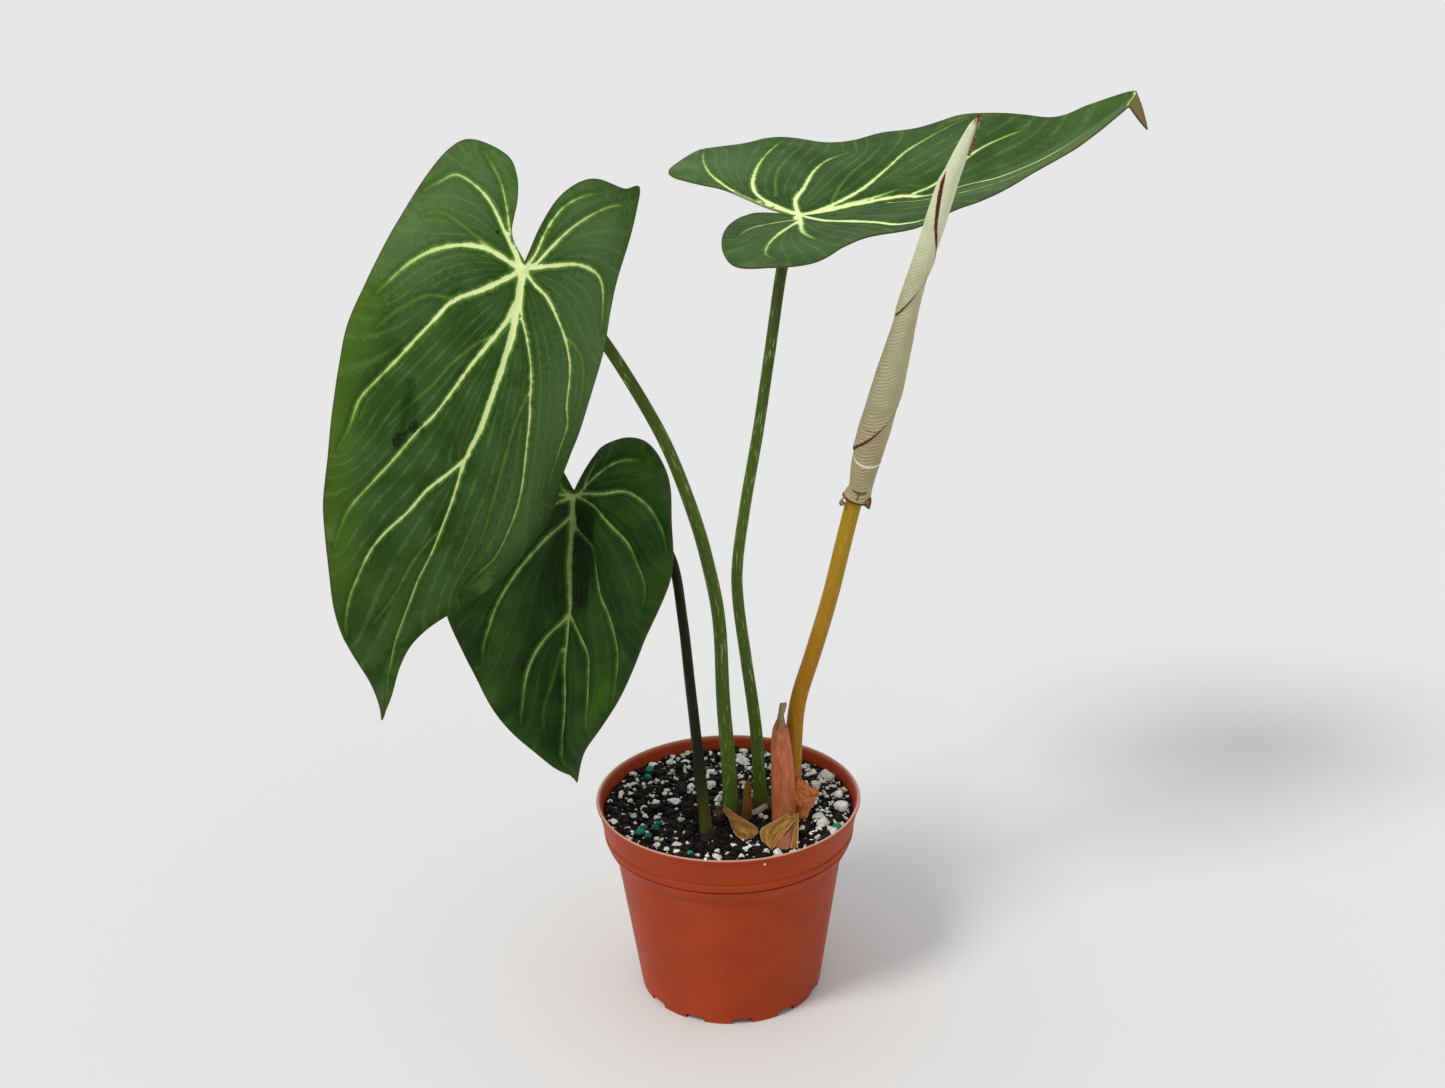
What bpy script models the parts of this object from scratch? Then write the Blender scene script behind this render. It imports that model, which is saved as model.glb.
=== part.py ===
"""Potted zebra gloriosum philodendron.

Three striped heart-shaped leaves and one rolled new leaf stand on petioles that
grow from a creeping rhizome, in a terracotta-coloured nursery pot of potting mix.
The origin is the middle of the pot's base. +Z is up and the viewer stands at -Y.
"""
import math
import random
from dataclasses import dataclass

import bmesh
import bpy
from mathutils import Vector, noise
from mathutils.geometry import delaunay_2d_cdt

# Units: sizes are in millimetres and become metres when a mesh is made
MM = 0.001
GAP = 0.3
MERGE = 0.00005

# Pot
TURN_STEPS = 48
POT_HEIGHT = 83.0
RIM_RADIUS = 52.5
LIP_HEIGHT = 1.8
LIP_PROUD = 1.0
WALL = 1.25
BAND_TOP_DROP = 13.3
BAND_BOTTOM_DROP = 17.5
BAND_PROUD = 0.35
COLLAR_FOOT_RADIUS = 49.0
SHOULDER_DROP = 28.0
SHOULDER_RADIUS = 44.4
FOOT_RADIUS = 36.6
FOOT_WIDTH = 2.2
GUTTER_HEIGHT = 2.6
FLOOR = 1.6
PAD_RADIUS = 20.2
NOTCH_COUNT = 12
NOTCH_WIDTH = 8.0
NOTCH_TURN = math.radians(6)
DRAIN_COUNT = 6
DRAIN_RADIUS = 3.5

# Potting mix
SOIL_LEVEL = 76.8
SOIL_BANK = 1.2
SOIL_RELIEF = 1.1
SOIL_RINGS = 9
PERLITE_COUNT = 26
PERLITE_SEED = 7

# Stems: a petiole's foot stands this far below the soil level
ROOTED = 6.8
STEM_SIDES = 2

# Blades
LAMINA = 0.8
RIB_DEPTH = 2.0
VEIN_SINK = 0.55
HUB_REACH = 9.0
WAVE_HEIGHT = 1.1
WAVE_LENGTH = 36.0
GRID = 7.0

COLOURS = {
    "terracotta": ((0.30, 0.055, 0.022), 0.5),
    "soil": ((0.018, 0.013, 0.010), 0.95),
    "rhizome": ((0.06, 0.035, 0.02), 0.85),
    "leaf": ((0.035, 0.10, 0.03), 0.5),
    "dark_leaf": ((0.015, 0.06, 0.018), 0.5),
    "petiole": ((0.09, 0.11, 0.02), 0.5),
    "dark_petiole": ((0.025, 0.035, 0.012), 0.5),
    "young_petiole": ((0.36, 0.22, 0.035), 0.45),
    "new_leaf": ((0.50, 0.50, 0.36), 0.6),
    "cataphyll": ((0.42, 0.10, 0.07), 0.55),
    "dry_sheath": ((0.28, 0.13, 0.04), 0.8),
}


@dataclass
class Blade:
    """A heart-shaped blade: a flat outline, its veins, and the way it hangs.

    Flat points are (u, v): v runs along the midrib from the petiole's joint to
    the tip, u across it. Angles are in degrees, bends in degrees per 100 mm.
    """

    name: str
    finish: str
    joint: tuple
    heading: float
    droop: float
    roll: float
    bend: float
    lobe_bend: float
    fold: tuple
    lobe_fold: float
    curl: tuple
    twist: float
    length: float
    half_width: float
    sway: tuple
    plus_side: list
    minus_side: list
    veins: list
    tip_bend: float = 0.0
    tip_bend_start: float = 0.0
    tip_bend_length: float = 1.0


LARGE = Blade(
    name="leaf_blade_large", finish="leaf", joint=(-66.7, -28.0, 302.4),
    heading=-119, droop=60, roll=58, bend=11, lobe_bend=7, fold=(3, 9), lobe_fold=-2,
    curl=(-26, -38), twist=18, length=164, half_width=58, sway=(-2, 1, 3, 7),
    plus_side=[(0, -2), (7, -10), (8, -22), (10, -30), (15, -36), (27, -38), (34, -33), (41, -18),
               (48, 4), (54, 22), (56, 37), (54, 54), (51, 78), (45, 103), (31, 128), (10, 150), (0, 164)],
    minus_side=[(0, -2), (-2, -15), (-6, -27), (-12, -35), (-19, -39), (-31, -40), (-38, -43),
                (-39, -30), (-40, 0), (-43, 33), (-49, 61), (-53, 80), (-50, 95), (-40, 106),
                (-26, 117), (-11, 129), (-4, 143), (0, 164)],
    veins=[[(0, 0), (0, 45), (0, 90), (0, 130), (0, 160)],
           [(0, 0), (12, -12), (18, -22), (30, -31)],
           [(0, 0), (16, -8), (33, -17), (45, -15), (50, -2)],
           [(0, 0), (19, -2), (34, 5), (46, 18), (51, 34)],
           [(0, 0), (22, 18), (34, 41), (43, 59), (48, 82)],
           [(0, 18), (15, 42), (28, 72), (37, 98), (39, 115)],
           [(0, 70), (14, 88), (22, 108), (21, 135)],
           [(0, 0), (-10, -14), (-22, -28), (-33, -34)],
           [(0, 0), (-15, -6), (-29, -8), (-37, 4), (-39, 18)],
           [(0, 0), (-16, 13), (-27, 28), (-39, 50), (-44, 66)],
           [(0, 12), (-10, 31), (-22, 55), (-30, 85), (-20, 117)]])

UPPER = Blade(
    name="leaf_blade_upper", finish="leaf", joint=(29.5, 20.0, 309.5),
    heading=10, droop=1, roll=-8.5, bend=-28, lobe_bend=-20, fold=(12.5, 16), lobe_fold=-7,
    curl=(-6, -12), twist=6, length=134, half_width=64, sway=(-3, -1, 2, 2),
    tip_bend=108, tip_bend_start=127, tip_bend_length=6,
    plus_side=[(-1, -3), (-1, -18), (16, -29.5), (36.5, -35.5), (55, -34.5), (64, -25), (65, -8),
               (59, 17), (57, 36.5), (47.5, 59), (38.5, 81), (34.5, 99.5), (24.5, 118), (11, 133),
               (4, 141), (0, 147)],
    minus_side=[(-1, -3), (-8, -12), (-20, -23), (-28.5, -35.5), (-37.5, -42.5), (-53, -36.5),
                (-67, -22), (-72, -8), (-65, 14), (-58, 36.5), (-59, 59), (-55, 78), (-40.5, 93),
                (-19, 105.5), (-13, 118), (-9, 131), (-4, 140), (0, 147)],
    veins=[[(0, 0), (0, 45), (0, 90), (0, 120), (0, 142)],
           [(0, 0), (20, -11), (40, -20), (57, -20)],
           [(0, 0), (22, -6), (42, -5), (57, 0)],
           [(0, 0), (25, 10), (42, 22), (53, 36)],
           [(0, 30), (18, 50), (28, 73), (30, 94)],
           [(0, 0), (-8, -13), (-22, -23), (-37, -26), (-59, -24)],
           [(0, 0), (-13, -12), (-37, -9), (-55, 0), (-64, 8)],
           [(0, 0), (-13, 2), (-33, 16), (-47, 32)],
           [(0, 6), (-10, 23), (-30, 44), (-44, 65), (-47, 81)],
           [(0, 48), (-14, 65), (-22, 83), (-19, 97)]])

SMALL = Blade(
    name="leaf_blade_small", finish="dark_leaf", joint=(-54.8, -15.0, 214.8),
    heading=-107, droop=65, roll=-16, bend=19, lobe_bend=14, fold=(22, 24), lobe_fold=0,
    curl=(-18, -20), twist=0, length=109.5, half_width=53, sway=(-0.5, -0.5, 0.5, 4),
    plus_side=[(0, -2), (5, -9), (12, -17), (22, -20.5), (33, -19), (42, -13), (49, -2), (52.5, 14),
               (52, 31), (47, 47), (39.5, 60.5), (30, 75), (20.5, 86), (11, 95), (4, 102), (-4, 106)],
    minus_side=[(0, -2), (-6, -10), (-13, -17), (-21, -20), (-29, -21), (-37, -19.5), (-44, -14),
                (-50, -4), (-53.5, 10), (-53.5, 24), (-50, 36), (-44, 49), (-35, 66), (-25, 82),
                (-13, 95.5), (-4, 106)],
    veins=[[(0, 0), (0, 40), (0, 75), (0, 102)],
           [(0, 0), (13, -6), (27, -11), (40, -6)],
           [(0, 0), (18, 3), (35, 13), (44, 28)],
           [(0, 8), (17, 27), (27, 44), (32, 64)],
           [(0, 48), (10, 57), (15, 70), (15, 85)],
           [(0, 0), (-11, -6), (-22, -12), (-37, -12)],
           [(0, 0), (-20, -2), (-42, 2), (-51, 18)],
           [(0, 0), (-17, 6), (-34, 19), (-43, 38)],
           [(0, 12), (-18, 31), (-30, 52), (-29, 69)],
           [(0, 46), (-14, 60), (-17, 83)]])

BLADES = (LARGE, UPPER, SMALL)


@dataclass
class Stem:
    """A petiole: its centre line from the foot up, and its radii along it."""

    name: str
    finish: str
    radii: tuple
    path: list


SOIL_FOOT = SOIL_LEVEL - ROOTED
RHIZOME_FOOT = SOIL_LEVEL - 4.0
STEMS = (
    Stem("petiole_large", "petiole", (3.1, 2.6, 2.4, 2.2, 2.1),
         [(1.2, -2.5, RHIZOME_FOOT), (1.0, -2.4, 79), (0.2, -2, 99), (-1.3, -1, 124.7),
          (-2.3, 0, 158), (-6.5, 0, 183), (-11.7, 0, 203), (-20, 1, 226.6), (-29.4, 3, 245.5),
          (-42.4, 7, 266.6), (-54, 4.5, 283.5), (-63, -4, 294), (-67.5, -15, 299),
          (-68.5, -24.8, 301.4)]),
    Stem("petiole_upper", "petiole", (2.6, 2.3, 2.15, 2.1, 2.1),
         [(12.8, 3, RHIZOME_FOOT), (12.6, 3, 79), (11.4, 5.3, 108.4), (8, 7.6, 137.8),
          (5.2, 9.5, 162.3), (5.3, 10.7, 178.4), (8.8, 12.6, 202.2), (13.7, 14.7, 229.4),
          (18.5, 17, 259.7), (23.2, 19.3, 289.8), (26.8, 20.1, 301), (29.8, 20.5, 306.1)]),
    Stem("petiole_small", "dark_petiole", (2.3, 2.0, 1.85, 1.75),
         [(-8.6, -19.6, SOIL_FOOT), (-8.8, -19.6, 78), (-11.7, -19, 116.6), (-13.8, -18.5, 141.7),
          (-15.9, -17.5, 165.9), (-19.4, -15, 189), (-29, -8, 202.5), (-40, -3, 209.5),
          (-49.3, -6, 211.6), (-53.6, -12.8, 213.0)]),
    Stem("petiole_new", "young_petiole", (3.5, 3.2, 3.1, 3.0),
         [(25, -2, RHIZOME_FOOT), (25.2, -2, 79), (26.1, -2.5, 107.5), (27.9, -3.5, 125.3),
          (33.3, -4.5, 144.8), (39.4, -5.5, 167.9), (44.4, -7, 190.7), (48.1, -8, 206.9),
          (49.2, -8.2, 211.4)]),
)

# Rhizome: a creeping stem half sunk in the mix, from which the petioles rise
RHIZOME_PATH = [(-7, -4.5, 72.6), (-3, -3.6, 73.2), (1.2, -2.5, 73.4), (7, 0.6, 73.3), (12.8, 3, 73.3),
                (19, 1, 73.2), (25, -2, 73.1), (30, -3.3, 72.8), (33.6, -4.2, 72.6)]
RHIZOME_STEP = 3.4
RHIZOME_RADII = (4.6, 6.1, 6.6, 5.9, 6.5, 5.9, 6.9, 6.0, 5.0)

# Rolled new leaf: axis and radius from its flared skirt to its tip
SPEAR = [((48.9, -8.0, 208.2), 5.7), ((49.7, -8.4, 209.9), 5.0), ((50.5, -9.4, 213.6), 4.4),
         ((52.0, -12.0, 223.7), 5.5), ((55.2, -15.9, 238.6), 6.3), ((59.6, -21.3, 259.5), 5.5),
         ((63.9, -26.6, 279.6), 4.3), ((67.6, -31.3, 297.3), 3.6), ((71.6, -35.3, 312.2), 3.6),
         ((75.8, -39.8, 328.8), 3.5), ((79.6, -43.1, 340.7), 2.7), ((83.2, -45.6, 350.1), 1.5),
         ((85.4, -46.8, 354.4), 0.6)]
SPEAR_SIDES = 14
SPEAR_RINGS = 22
SPEAR_LAP = 0.16
SPEAR_TURNS = 0.8
SOCKET_DEPTH = 3.4


@dataclass
class Sheath:
    """A bract, seen as a strip of a cone: axis, radii and how far it wraps."""

    name: str
    finish: str
    foot: tuple
    head: tuple
    bow: float
    radii: tuple
    wrap: tuple
    facing: float
    crumple: float
    thickness: float = 0.8


SEAT = SOIL_LEVEL + GAP
SHEATHS = (
    Sheath("cataphyll", "cataphyll", (21.6, -13.6, SEAT), (20.2, -9.6, 126), 1.2,
           (4.6, 4.6, 4.2, 3.4, 1.0), (300, 290, 270, 240, 120), -80, 0.15, 0.9),
    Sheath("dry_sheath_front", "dry_sheath", (5.0, -15.2, SEAT), (1.2, -9.4, 87), 0.5,
           (5.2, 5.6, 5.0, 3.4), (110, 120, 100, 30), -70, 0.5),
    Sheath("dry_sheath_middle", "dry_sheath", (16.6, -22.4, SEAT), (23.5, -19.5, 92), 0.6,
           (5.8, 6.4, 5.6, 3.2), (105, 125, 105, 30), -100, 0.5),
    Sheath("dry_sheath_right", "dry_sheath", (33.8, -8.6, SEAT), (33.4, -5.4, 90.5), -0.6,
           (4.6, 5.2, 4.4, 2.4), (150, 160, 140, 60), -30, 0.8),
    Sheath("dry_sheath_back", "dry_sheath", (8.6, -8.6, SEAT), (7.9, -7.0, 90), 0.4,
           (2.4, 2.5, 2.2, 1.2), (150, 150, 130, 60), -90, 0.3),
    Sheath("dry_sheath_stub", "cataphyll", (24.6, -24.6, SEAT), (25.4, -22.6, 84), 0.3,
           (3.2, 3.2, 2.8, 1.4), (170, 170, 150, 70), -85, 0.3),
)


# Shared helpers
def smooth_points(points, step):
    """Points every `step` along a smooth curve through `points`, ends kept."""
    knots = [Vector(p) for p in points]
    fine = []
    for i in range(len(knots) - 1):
        before = knots[max(i - 1, 0)]
        start, end = knots[i], knots[i + 1]
        after = knots[min(i + 2, len(knots) - 1)]
        for k in range(12):
            t = k / 12
            fine.append(0.5 * (2 * start + (end - before) * t
                               + (2 * before - 5 * start + 4 * end - after) * t ** 2
                               + (3 * start - before - 3 * end + after) * t ** 3))
    fine.append(knots[-1])
    lengths = [0.0]
    for a, b in zip(fine, fine[1:]):
        lengths.append(lengths[-1] + (b - a).length)
    count = max(2, round(lengths[-1] / step))
    out, j = [], 0
    for k in range(count + 1):
        target = lengths[-1] * k / count
        while j < len(fine) - 2 and lengths[j + 1] < target:
            j += 1
        span = lengths[j + 1] - lengths[j]
        out.append(fine[j].lerp(fine[j + 1], (target - lengths[j]) / span))
    return out


def blend(values, t):
    """Read an evenly spaced row of values at t from 0 to 1."""
    place = min(max(t, 0.0), 1.0) * (len(values) - 1)
    i = min(int(place), len(values) - 2)
    return values[i] + (values[i + 1] - values[i]) * (place - i)


def finish_material(name):
    """The Principled material of one of the object's finishes."""
    found = bpy.data.materials.get(name)
    if found:
        return found
    colour, roughness = COLOURS[name]
    material = bpy.data.materials.new(name)
    material.use_nodes = True
    shader = material.node_tree.nodes["Principled BSDF"]
    shader.inputs["Base Color"].default_value = (*colour, 1.0)
    shader.inputs["Roughness"].default_value = roughness
    shader.inputs["Metallic"].default_value = 0.0
    return material


def new_object(name, mesh, collection, finish=None, smooth_angle=40):
    """Put a mesh in the scene as a named object with its finish."""
    thing = bpy.data.objects.new(name, mesh)
    collection.objects.link(thing)
    if finish:
        mesh.materials.append(finish_material(finish))
    if smooth_angle:
        mesh.shade_smooth()
        mesh.set_sharp_from_angle(angle=math.radians(smooth_angle))
    return thing


def bmesh_to_mesh(shape, name):
    """Finish a bmesh: its faces point out, and it becomes a mesh in metres."""
    bmesh.ops.recalc_face_normals(shape, faces=shape.faces)
    mesh = bpy.data.meshes.new(name)
    shape.to_mesh(mesh)
    shape.free()
    return mesh


def cut(target, cutters, operation="DIFFERENCE"):
    """Apply one Boolean modifier for each cutter, then remove the cutters."""
    for cutter in cutters:
        cutter.hide_render = True
        cutter.display_type = "WIRE"
        tool = target.modifiers.new(cutter.name, "BOOLEAN")
        tool.object = cutter
        tool.operation = operation
        tool.solver = "EXACT"
    bake_modifiers(target)
    for cutter in cutters:
        bpy.data.objects.remove(cutter)


def bake_modifiers(target):
    """Make the evaluated shape the object's own mesh."""
    bpy.context.view_layer.update()
    evaluated = target.evaluated_get(bpy.context.evaluated_depsgraph_get())
    mesh = bpy.data.meshes.new_from_object(evaluated)
    target.modifiers.clear()
    target.data = mesh


def tube_object(name, path, radii, collection, finish=None, sides=STEM_SIDES):
    """A bevelled curve with filled caps through `path`, its radius read from `radii`."""
    curve = bpy.data.curves.new(name, "CURVE")
    curve.dimensions = "3D"
    curve.bevel_depth = MM
    curve.bevel_resolution = sides
    curve.use_fill_caps = True
    spline = curve.splines.new("POLY")
    spline.points.add(len(path) - 1)
    for i, point in enumerate(path):
        spline.points[i].co = (*(Vector(point) * MM), 1.0)
        spline.points[i].radius = blend(radii, i / (len(path) - 1))
    thing = bpy.data.objects.new(name, curve)
    collection.objects.link(thing)
    if finish:
        curve.materials.append(finish_material(finish))
    return thing


def curve_to_mesh(thing, collection):
    """Replace a curve object by a closed mesh object of the same name."""
    bpy.context.view_layer.update()
    evaluated = thing.evaluated_get(bpy.context.evaluated_depsgraph_get())
    mesh = bpy.data.meshes.new_from_object(evaluated)
    shape = bmesh.new()
    shape.from_mesh(mesh)
    bmesh.ops.remove_doubles(shape, verts=shape.verts, dist=MERGE)
    bmesh.ops.triangulate(shape, faces=shape.faces)
    bmesh.ops.recalc_face_normals(shape, faces=shape.faces)
    shape.to_mesh(mesh)
    shape.free()
    name = thing.name
    bpy.data.objects.remove(thing)
    solid = bpy.data.objects.new(name, mesh)
    collection.objects.link(solid)
    return solid


def cylinder_between(name, low, high, radius, collection, sides=20):
    """A cylinder whose flats, not its corners, lie at `radius` from its axis."""
    low, high = Vector(low), Vector(high)
    shape = bmesh.new()
    bmesh.ops.create_cone(shape, cap_ends=True, segments=sides, depth=(high - low).length * MM,
                          radius1=radius * MM / math.cos(math.pi / sides),
                          radius2=radius * MM / math.cos(math.pi / sides))
    thing = new_object(name, bmesh_to_mesh(shape, name), collection, smooth_angle=None)
    thing.location = (low + high) * 0.5 * MM
    thing.rotation_euler = (high - low).to_track_quat("Z", "Y").to_euler()
    return thing


# Pot
def inner_wall():
    """The inside of the pot from the floor's edge to the lip, as (radius, height)."""
    return [(FOOT_RADIUS - WALL, FLOOR + GUTTER_HEIGHT),
            (SHOULDER_RADIUS - WALL, POT_HEIGHT - SHOULDER_DROP + 0.2),
            (SHOULDER_RADIUS + 1.9, POT_HEIGHT - SHOULDER_DROP + 5.8),
            (COLLAR_FOOT_RADIUS - WALL, POT_HEIGHT - BAND_BOTTOM_DROP + 0.4),
            (RIM_RADIUS - LIP_PROUD - WALL, POT_HEIGHT - LIP_HEIGHT)]


def inner_radius(height):
    """Radius of the pot's inside at a height above its base."""
    wall = inner_wall()
    for (r0, z0), (r1, z1) in zip(wall, wall[1:]):
        if z0 <= height <= z1:
            return r0 + (r1 - r0) * (height - z0) / (z1 - z0)
    return wall[0][0]


def pot_profile():
    """Half section of the pot: inner floor, inside, lip, outside, then underside."""
    top = POT_HEIGHT
    outside = RIM_RADIUS - LIP_PROUD
    band_top = top - BAND_TOP_DROP
    band_radius = outside + (COLLAR_FOOT_RADIUS - outside) * BAND_TOP_DROP / BAND_BOTTOM_DROP
    floor = [(0, FLOOR), (PAD_RADIUS - 1.2, FLOOR), (PAD_RADIUS + 1.2, FLOOR + GUTTER_HEIGHT)]
    lip = [(outside, top), (RIM_RADIUS - 0.35, top - 0.2), (RIM_RADIUS, top - 0.9),
           (outside + 0.1, top - LIP_HEIGHT)]
    collar = [(band_radius + 0.05, band_top + 0.4), (band_radius + BAND_PROUD, band_top),
              (COLLAR_FOOT_RADIUS + BAND_PROUD, top - BAND_BOTTOM_DROP + 0.3)]
    shoulder = [(COLLAR_FOOT_RADIUS - 0.4, top - BAND_BOTTOM_DROP - 0.6),
                (COLLAR_FOOT_RADIUS - 2.1, top - 23.6), (SHOULDER_RADIUS, top - SHOULDER_DROP)]
    foot = [(FOOT_RADIUS - 0.2, 0), (FOOT_RADIUS - FOOT_WIDTH, 0),
            (FOOT_RADIUS - FOOT_WIDTH - 0.5, GUTTER_HEIGHT), (PAD_RADIUS + 1.4, GUTTER_HEIGHT),
            (PAD_RADIUS, 0), (0, 0)]
    return floor + inner_wall() + lip + collar + shoulder + foot


def build_pot(parts, cutters):
    """Turn the pot, then cut its foot notches and drain holes."""
    shape = bmesh.new()
    ring = [shape.verts.new((r * MM, 0, z * MM)) for r, z in pot_profile()]
    for a, b in zip(ring, ring[1:]):
        shape.edges.new((a, b))
    mesh = bpy.data.meshes.new("pot")
    shape.to_mesh(mesh)
    shape.free()
    pot = new_object("pot", mesh, parts, "terracotta", smooth_angle=None)
    turn = pot.modifiers.new("turn", "SCREW")
    turn.steps = TURN_STEPS
    turn.render_steps = TURN_STEPS
    turn.use_merge_vertices = True
    turn.merge_threshold = MERGE
    tools = []
    for i in range(NOTCH_COUNT):
        angle = -math.pi / 2 + NOTCH_TURN + 2 * math.pi * i / NOTCH_COUNT
        out = Vector((math.cos(angle), math.sin(angle), 0))
        tools.append(notch_cutter(f"notch_{i}", out, cutters))
    for i in range(DRAIN_COUNT):
        angle = 2 * math.pi * (i + 0.5) / DRAIN_COUNT
        middle = Vector((math.cos(angle), math.sin(angle), 0)) * (PAD_RADIUS + FOOT_RADIUS) / 2
        low = middle + Vector((0, 0, 1))
        tools.append(cylinder_between(f"drain_{i}", low, low + Vector((0, 0, 6)), DRAIN_RADIUS,
                                      cutters, 12))
    cut(pot, tools)
    pot.data.shade_smooth()
    pot.data.set_sharp_from_angle(angle=math.radians(35))


def notch_cutter(name, out, cutters):
    """A block that opens the foot ring to the gutter behind it."""
    shape = bmesh.new()
    bmesh.ops.create_cube(shape, size=1.0)
    bmesh.ops.scale(shape, vec=Vector((FOOT_WIDTH * 3, NOTCH_WIDTH, GUTTER_HEIGHT * 1.8)) * MM,
                    verts=shape.verts)
    block = new_object(name, bmesh_to_mesh(shape, name), cutters, smooth_angle=None)
    block.location = out * (FOOT_RADIUS - FOOT_WIDTH / 2) * MM
    block.rotation_euler = (0, 0, math.atan2(out.y, out.x))
    return block


# Potting mix
def seats():
    """Places as (x, y, radius) where the mix is level: under bracts and the rhizome."""
    under_bracts = [(s.foot[0], s.foot[1], s.radii[0] + 1.5) for s in SHEATHS]
    beside_rhizome = [(x, y, r + 1.5) for (x, y, _), r in zip(RHIZOME_PATH, RHIZOME_RADII)]
    return under_bracts + beside_rhizome


def soil_height(x, y):
    """Height of the mix: lumpy, banked up to the pot's wall, level at the seats."""
    reach = math.hypot(x, y) / RIM_RADIUS
    lumps = noise.noise(Vector((x * 0.16, y * 0.16, 3.1)))
    lumps += 0.6 * noise.noise(Vector((x * 0.4, y * 0.4, 8.7)))
    rise = SOIL_BANK * reach ** 2 + SOIL_RELIEF * lumps
    for seat_x, seat_y, radius in seats():
        away = math.hypot(x - seat_x, y - seat_y) - radius
        rise *= min(max(away / 3.0, 0.2), 1.0)
    return SOIL_LEVEL + rise


def soil_mesh():
    """A closed plug of potting mix that fills the pot below the relief."""
    shape = bmesh.new()
    edge = SOIL_LEVEL + SOIL_BANK - 0.3
    heights = [FLOOR + GUTTER_HEIGHT + GAP, POT_HEIGHT - SHOULDER_DROP + 0.2,
               POT_HEIGHT - SHOULDER_DROP + 5.8, POT_HEIGHT - BAND_BOTTOM_DROP + 0.4, edge]
    rings = [(PAD_RADIUS - 2.0, FLOOR + GAP), (PAD_RADIUS + 0.6, FLOOR + GUTTER_HEIGHT + GAP)]
    rings += [(inner_radius(z) - GAP * 1.2, z) for z in heights]
    outer = rings[-1][0]
    tops = [outer * (1 - k / SOIL_RINGS) for k in range(1, SOIL_RINGS)]
    loops = []
    for i, radius in enumerate([r for r, _ in rings] + tops):
        loop = []
        for k in range(TURN_STEPS):
            angle = 2 * math.pi * k / TURN_STEPS
            x, y = radius * math.cos(angle), radius * math.sin(angle)
            z = rings[i][1] if i < len(rings) else soil_height(x, y)
            loop.append(shape.verts.new(Vector((x, y, z)) * MM))
        loops.append(loop)
    bottom = shape.verts.new(Vector((0, 0, FLOOR + GAP)) * MM)
    top = shape.verts.new(Vector((0, 0, soil_height(0, 0))) * MM)
    for a, b in zip(loops, loops[1:]):
        for k in range(TURN_STEPS):
            n = (k + 1) % TURN_STEPS
            shape.faces.new((a[k], a[n], b[n], b[k]))
    for k in range(TURN_STEPS):
        n = (k + 1) % TURN_STEPS
        shape.faces.new((bottom, loops[0][n], loops[0][k]))
        shape.faces.new((top, loops[-1][k], loops[-1][n]))
    bmesh.ops.triangulate(shape, faces=shape.faces)
    return bmesh_to_mesh(shape, "soil")


def perlite_lumps(cutters):
    """Seeded angular lumps half sunk in the mix, clear of stems and bracts."""
    draw = random.Random(PERLITE_SEED)
    keep_out = [(s.path[0][0], s.path[0][1], s.radii[0] + 2.5) for s in STEMS]
    keep_out += [(x, y, r + 1.0) for x, y, r in seats()]
    placed = []
    while len(placed) < PERLITE_COUNT:
        angle = draw.uniform(0, 2 * math.pi)
        reach = math.sqrt(draw.random()) * 44.0
        size = draw.uniform(1.2, 2.1)
        x, y = reach * math.cos(angle), reach * math.sin(angle)
        near_stem = any(math.hypot(x - a, y - b) < r + size for a, b, r in keep_out)
        near_lump = any(math.hypot(x - a, y - b) < s + size + 0.4 for a, b, s in placed)
        if near_stem or near_lump:
            continue
        placed.append((x, y, size))
    for i, (x, y, size) in enumerate(placed):
        shape = bmesh.new()
        bmesh.ops.create_icosphere(shape, subdivisions=1, radius=size * MM)
        for vert in shape.verts:
            vert.co *= draw.uniform(0.85, 1.15)
        name = f"perlite_{i}"
        lump = new_object(name, bmesh_to_mesh(shape, name), cutters, smooth_angle=None)
        lump.location = Vector((x, y, soil_height(x, y) + size * 0.15)) * MM
        lump.rotation_euler = (draw.uniform(0, 6), draw.uniform(0, 6), draw.uniform(0, 6))


def build_soil(parts, cutters):
    """Fuse the perlite into the mix, then open the trough and the stem holes."""
    soil = new_object("soil", soil_mesh(), parts, "soil", smooth_angle=None)
    lumps = bpy.data.collections.new("perlite lumps")
    bpy.context.scene.collection.children.link(lumps)
    perlite_lumps(lumps)
    union = soil.modifiers.new("perlite", "BOOLEAN")
    union.operation = "UNION"
    union.operand_type = "COLLECTION"
    union.collection = lumps
    union.solver = "EXACT"
    bake_modifiers(soil)
    for lump in list(lumps.objects):
        bpy.data.objects.remove(lump)
    bpy.data.collections.remove(lumps)
    path = smooth_points(RHIZOME_PATH, RHIZOME_STEP)
    trough = [r + GAP * 1.3 for r in RHIZOME_RADII]
    groove = tube_object("trough", lengthened(path, GAP * 1.4), trough, cutters, sides=3)
    holes = [curve_to_mesh(groove, cutters)]
    for stem in STEMS:
        if stem.path[0][2] < RHIZOME_FOOT:
            holes.append(stem_hole(stem, cutters))
    cut(soil, holes)


def lengthened(path, extra):
    """The same path with both ends pushed out by `extra`."""
    first = path[0] + (path[0] - path[1]).normalized() * extra
    last = path[-1] + (path[-1] - path[-2]).normalized() * extra
    return [first] + path[1:-1] + [last]


def stem_hole(stem, cutters):
    """A plain round hole for a stem's straight foot."""
    low, high = Vector(stem.path[0]), Vector(stem.path[1])
    along = (high - low).normalized()
    return cylinder_between(f"{stem.name}_hole", low - along * GAP, high + along * 12,
                            stem.radii[0] + GAP, cutters)


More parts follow.
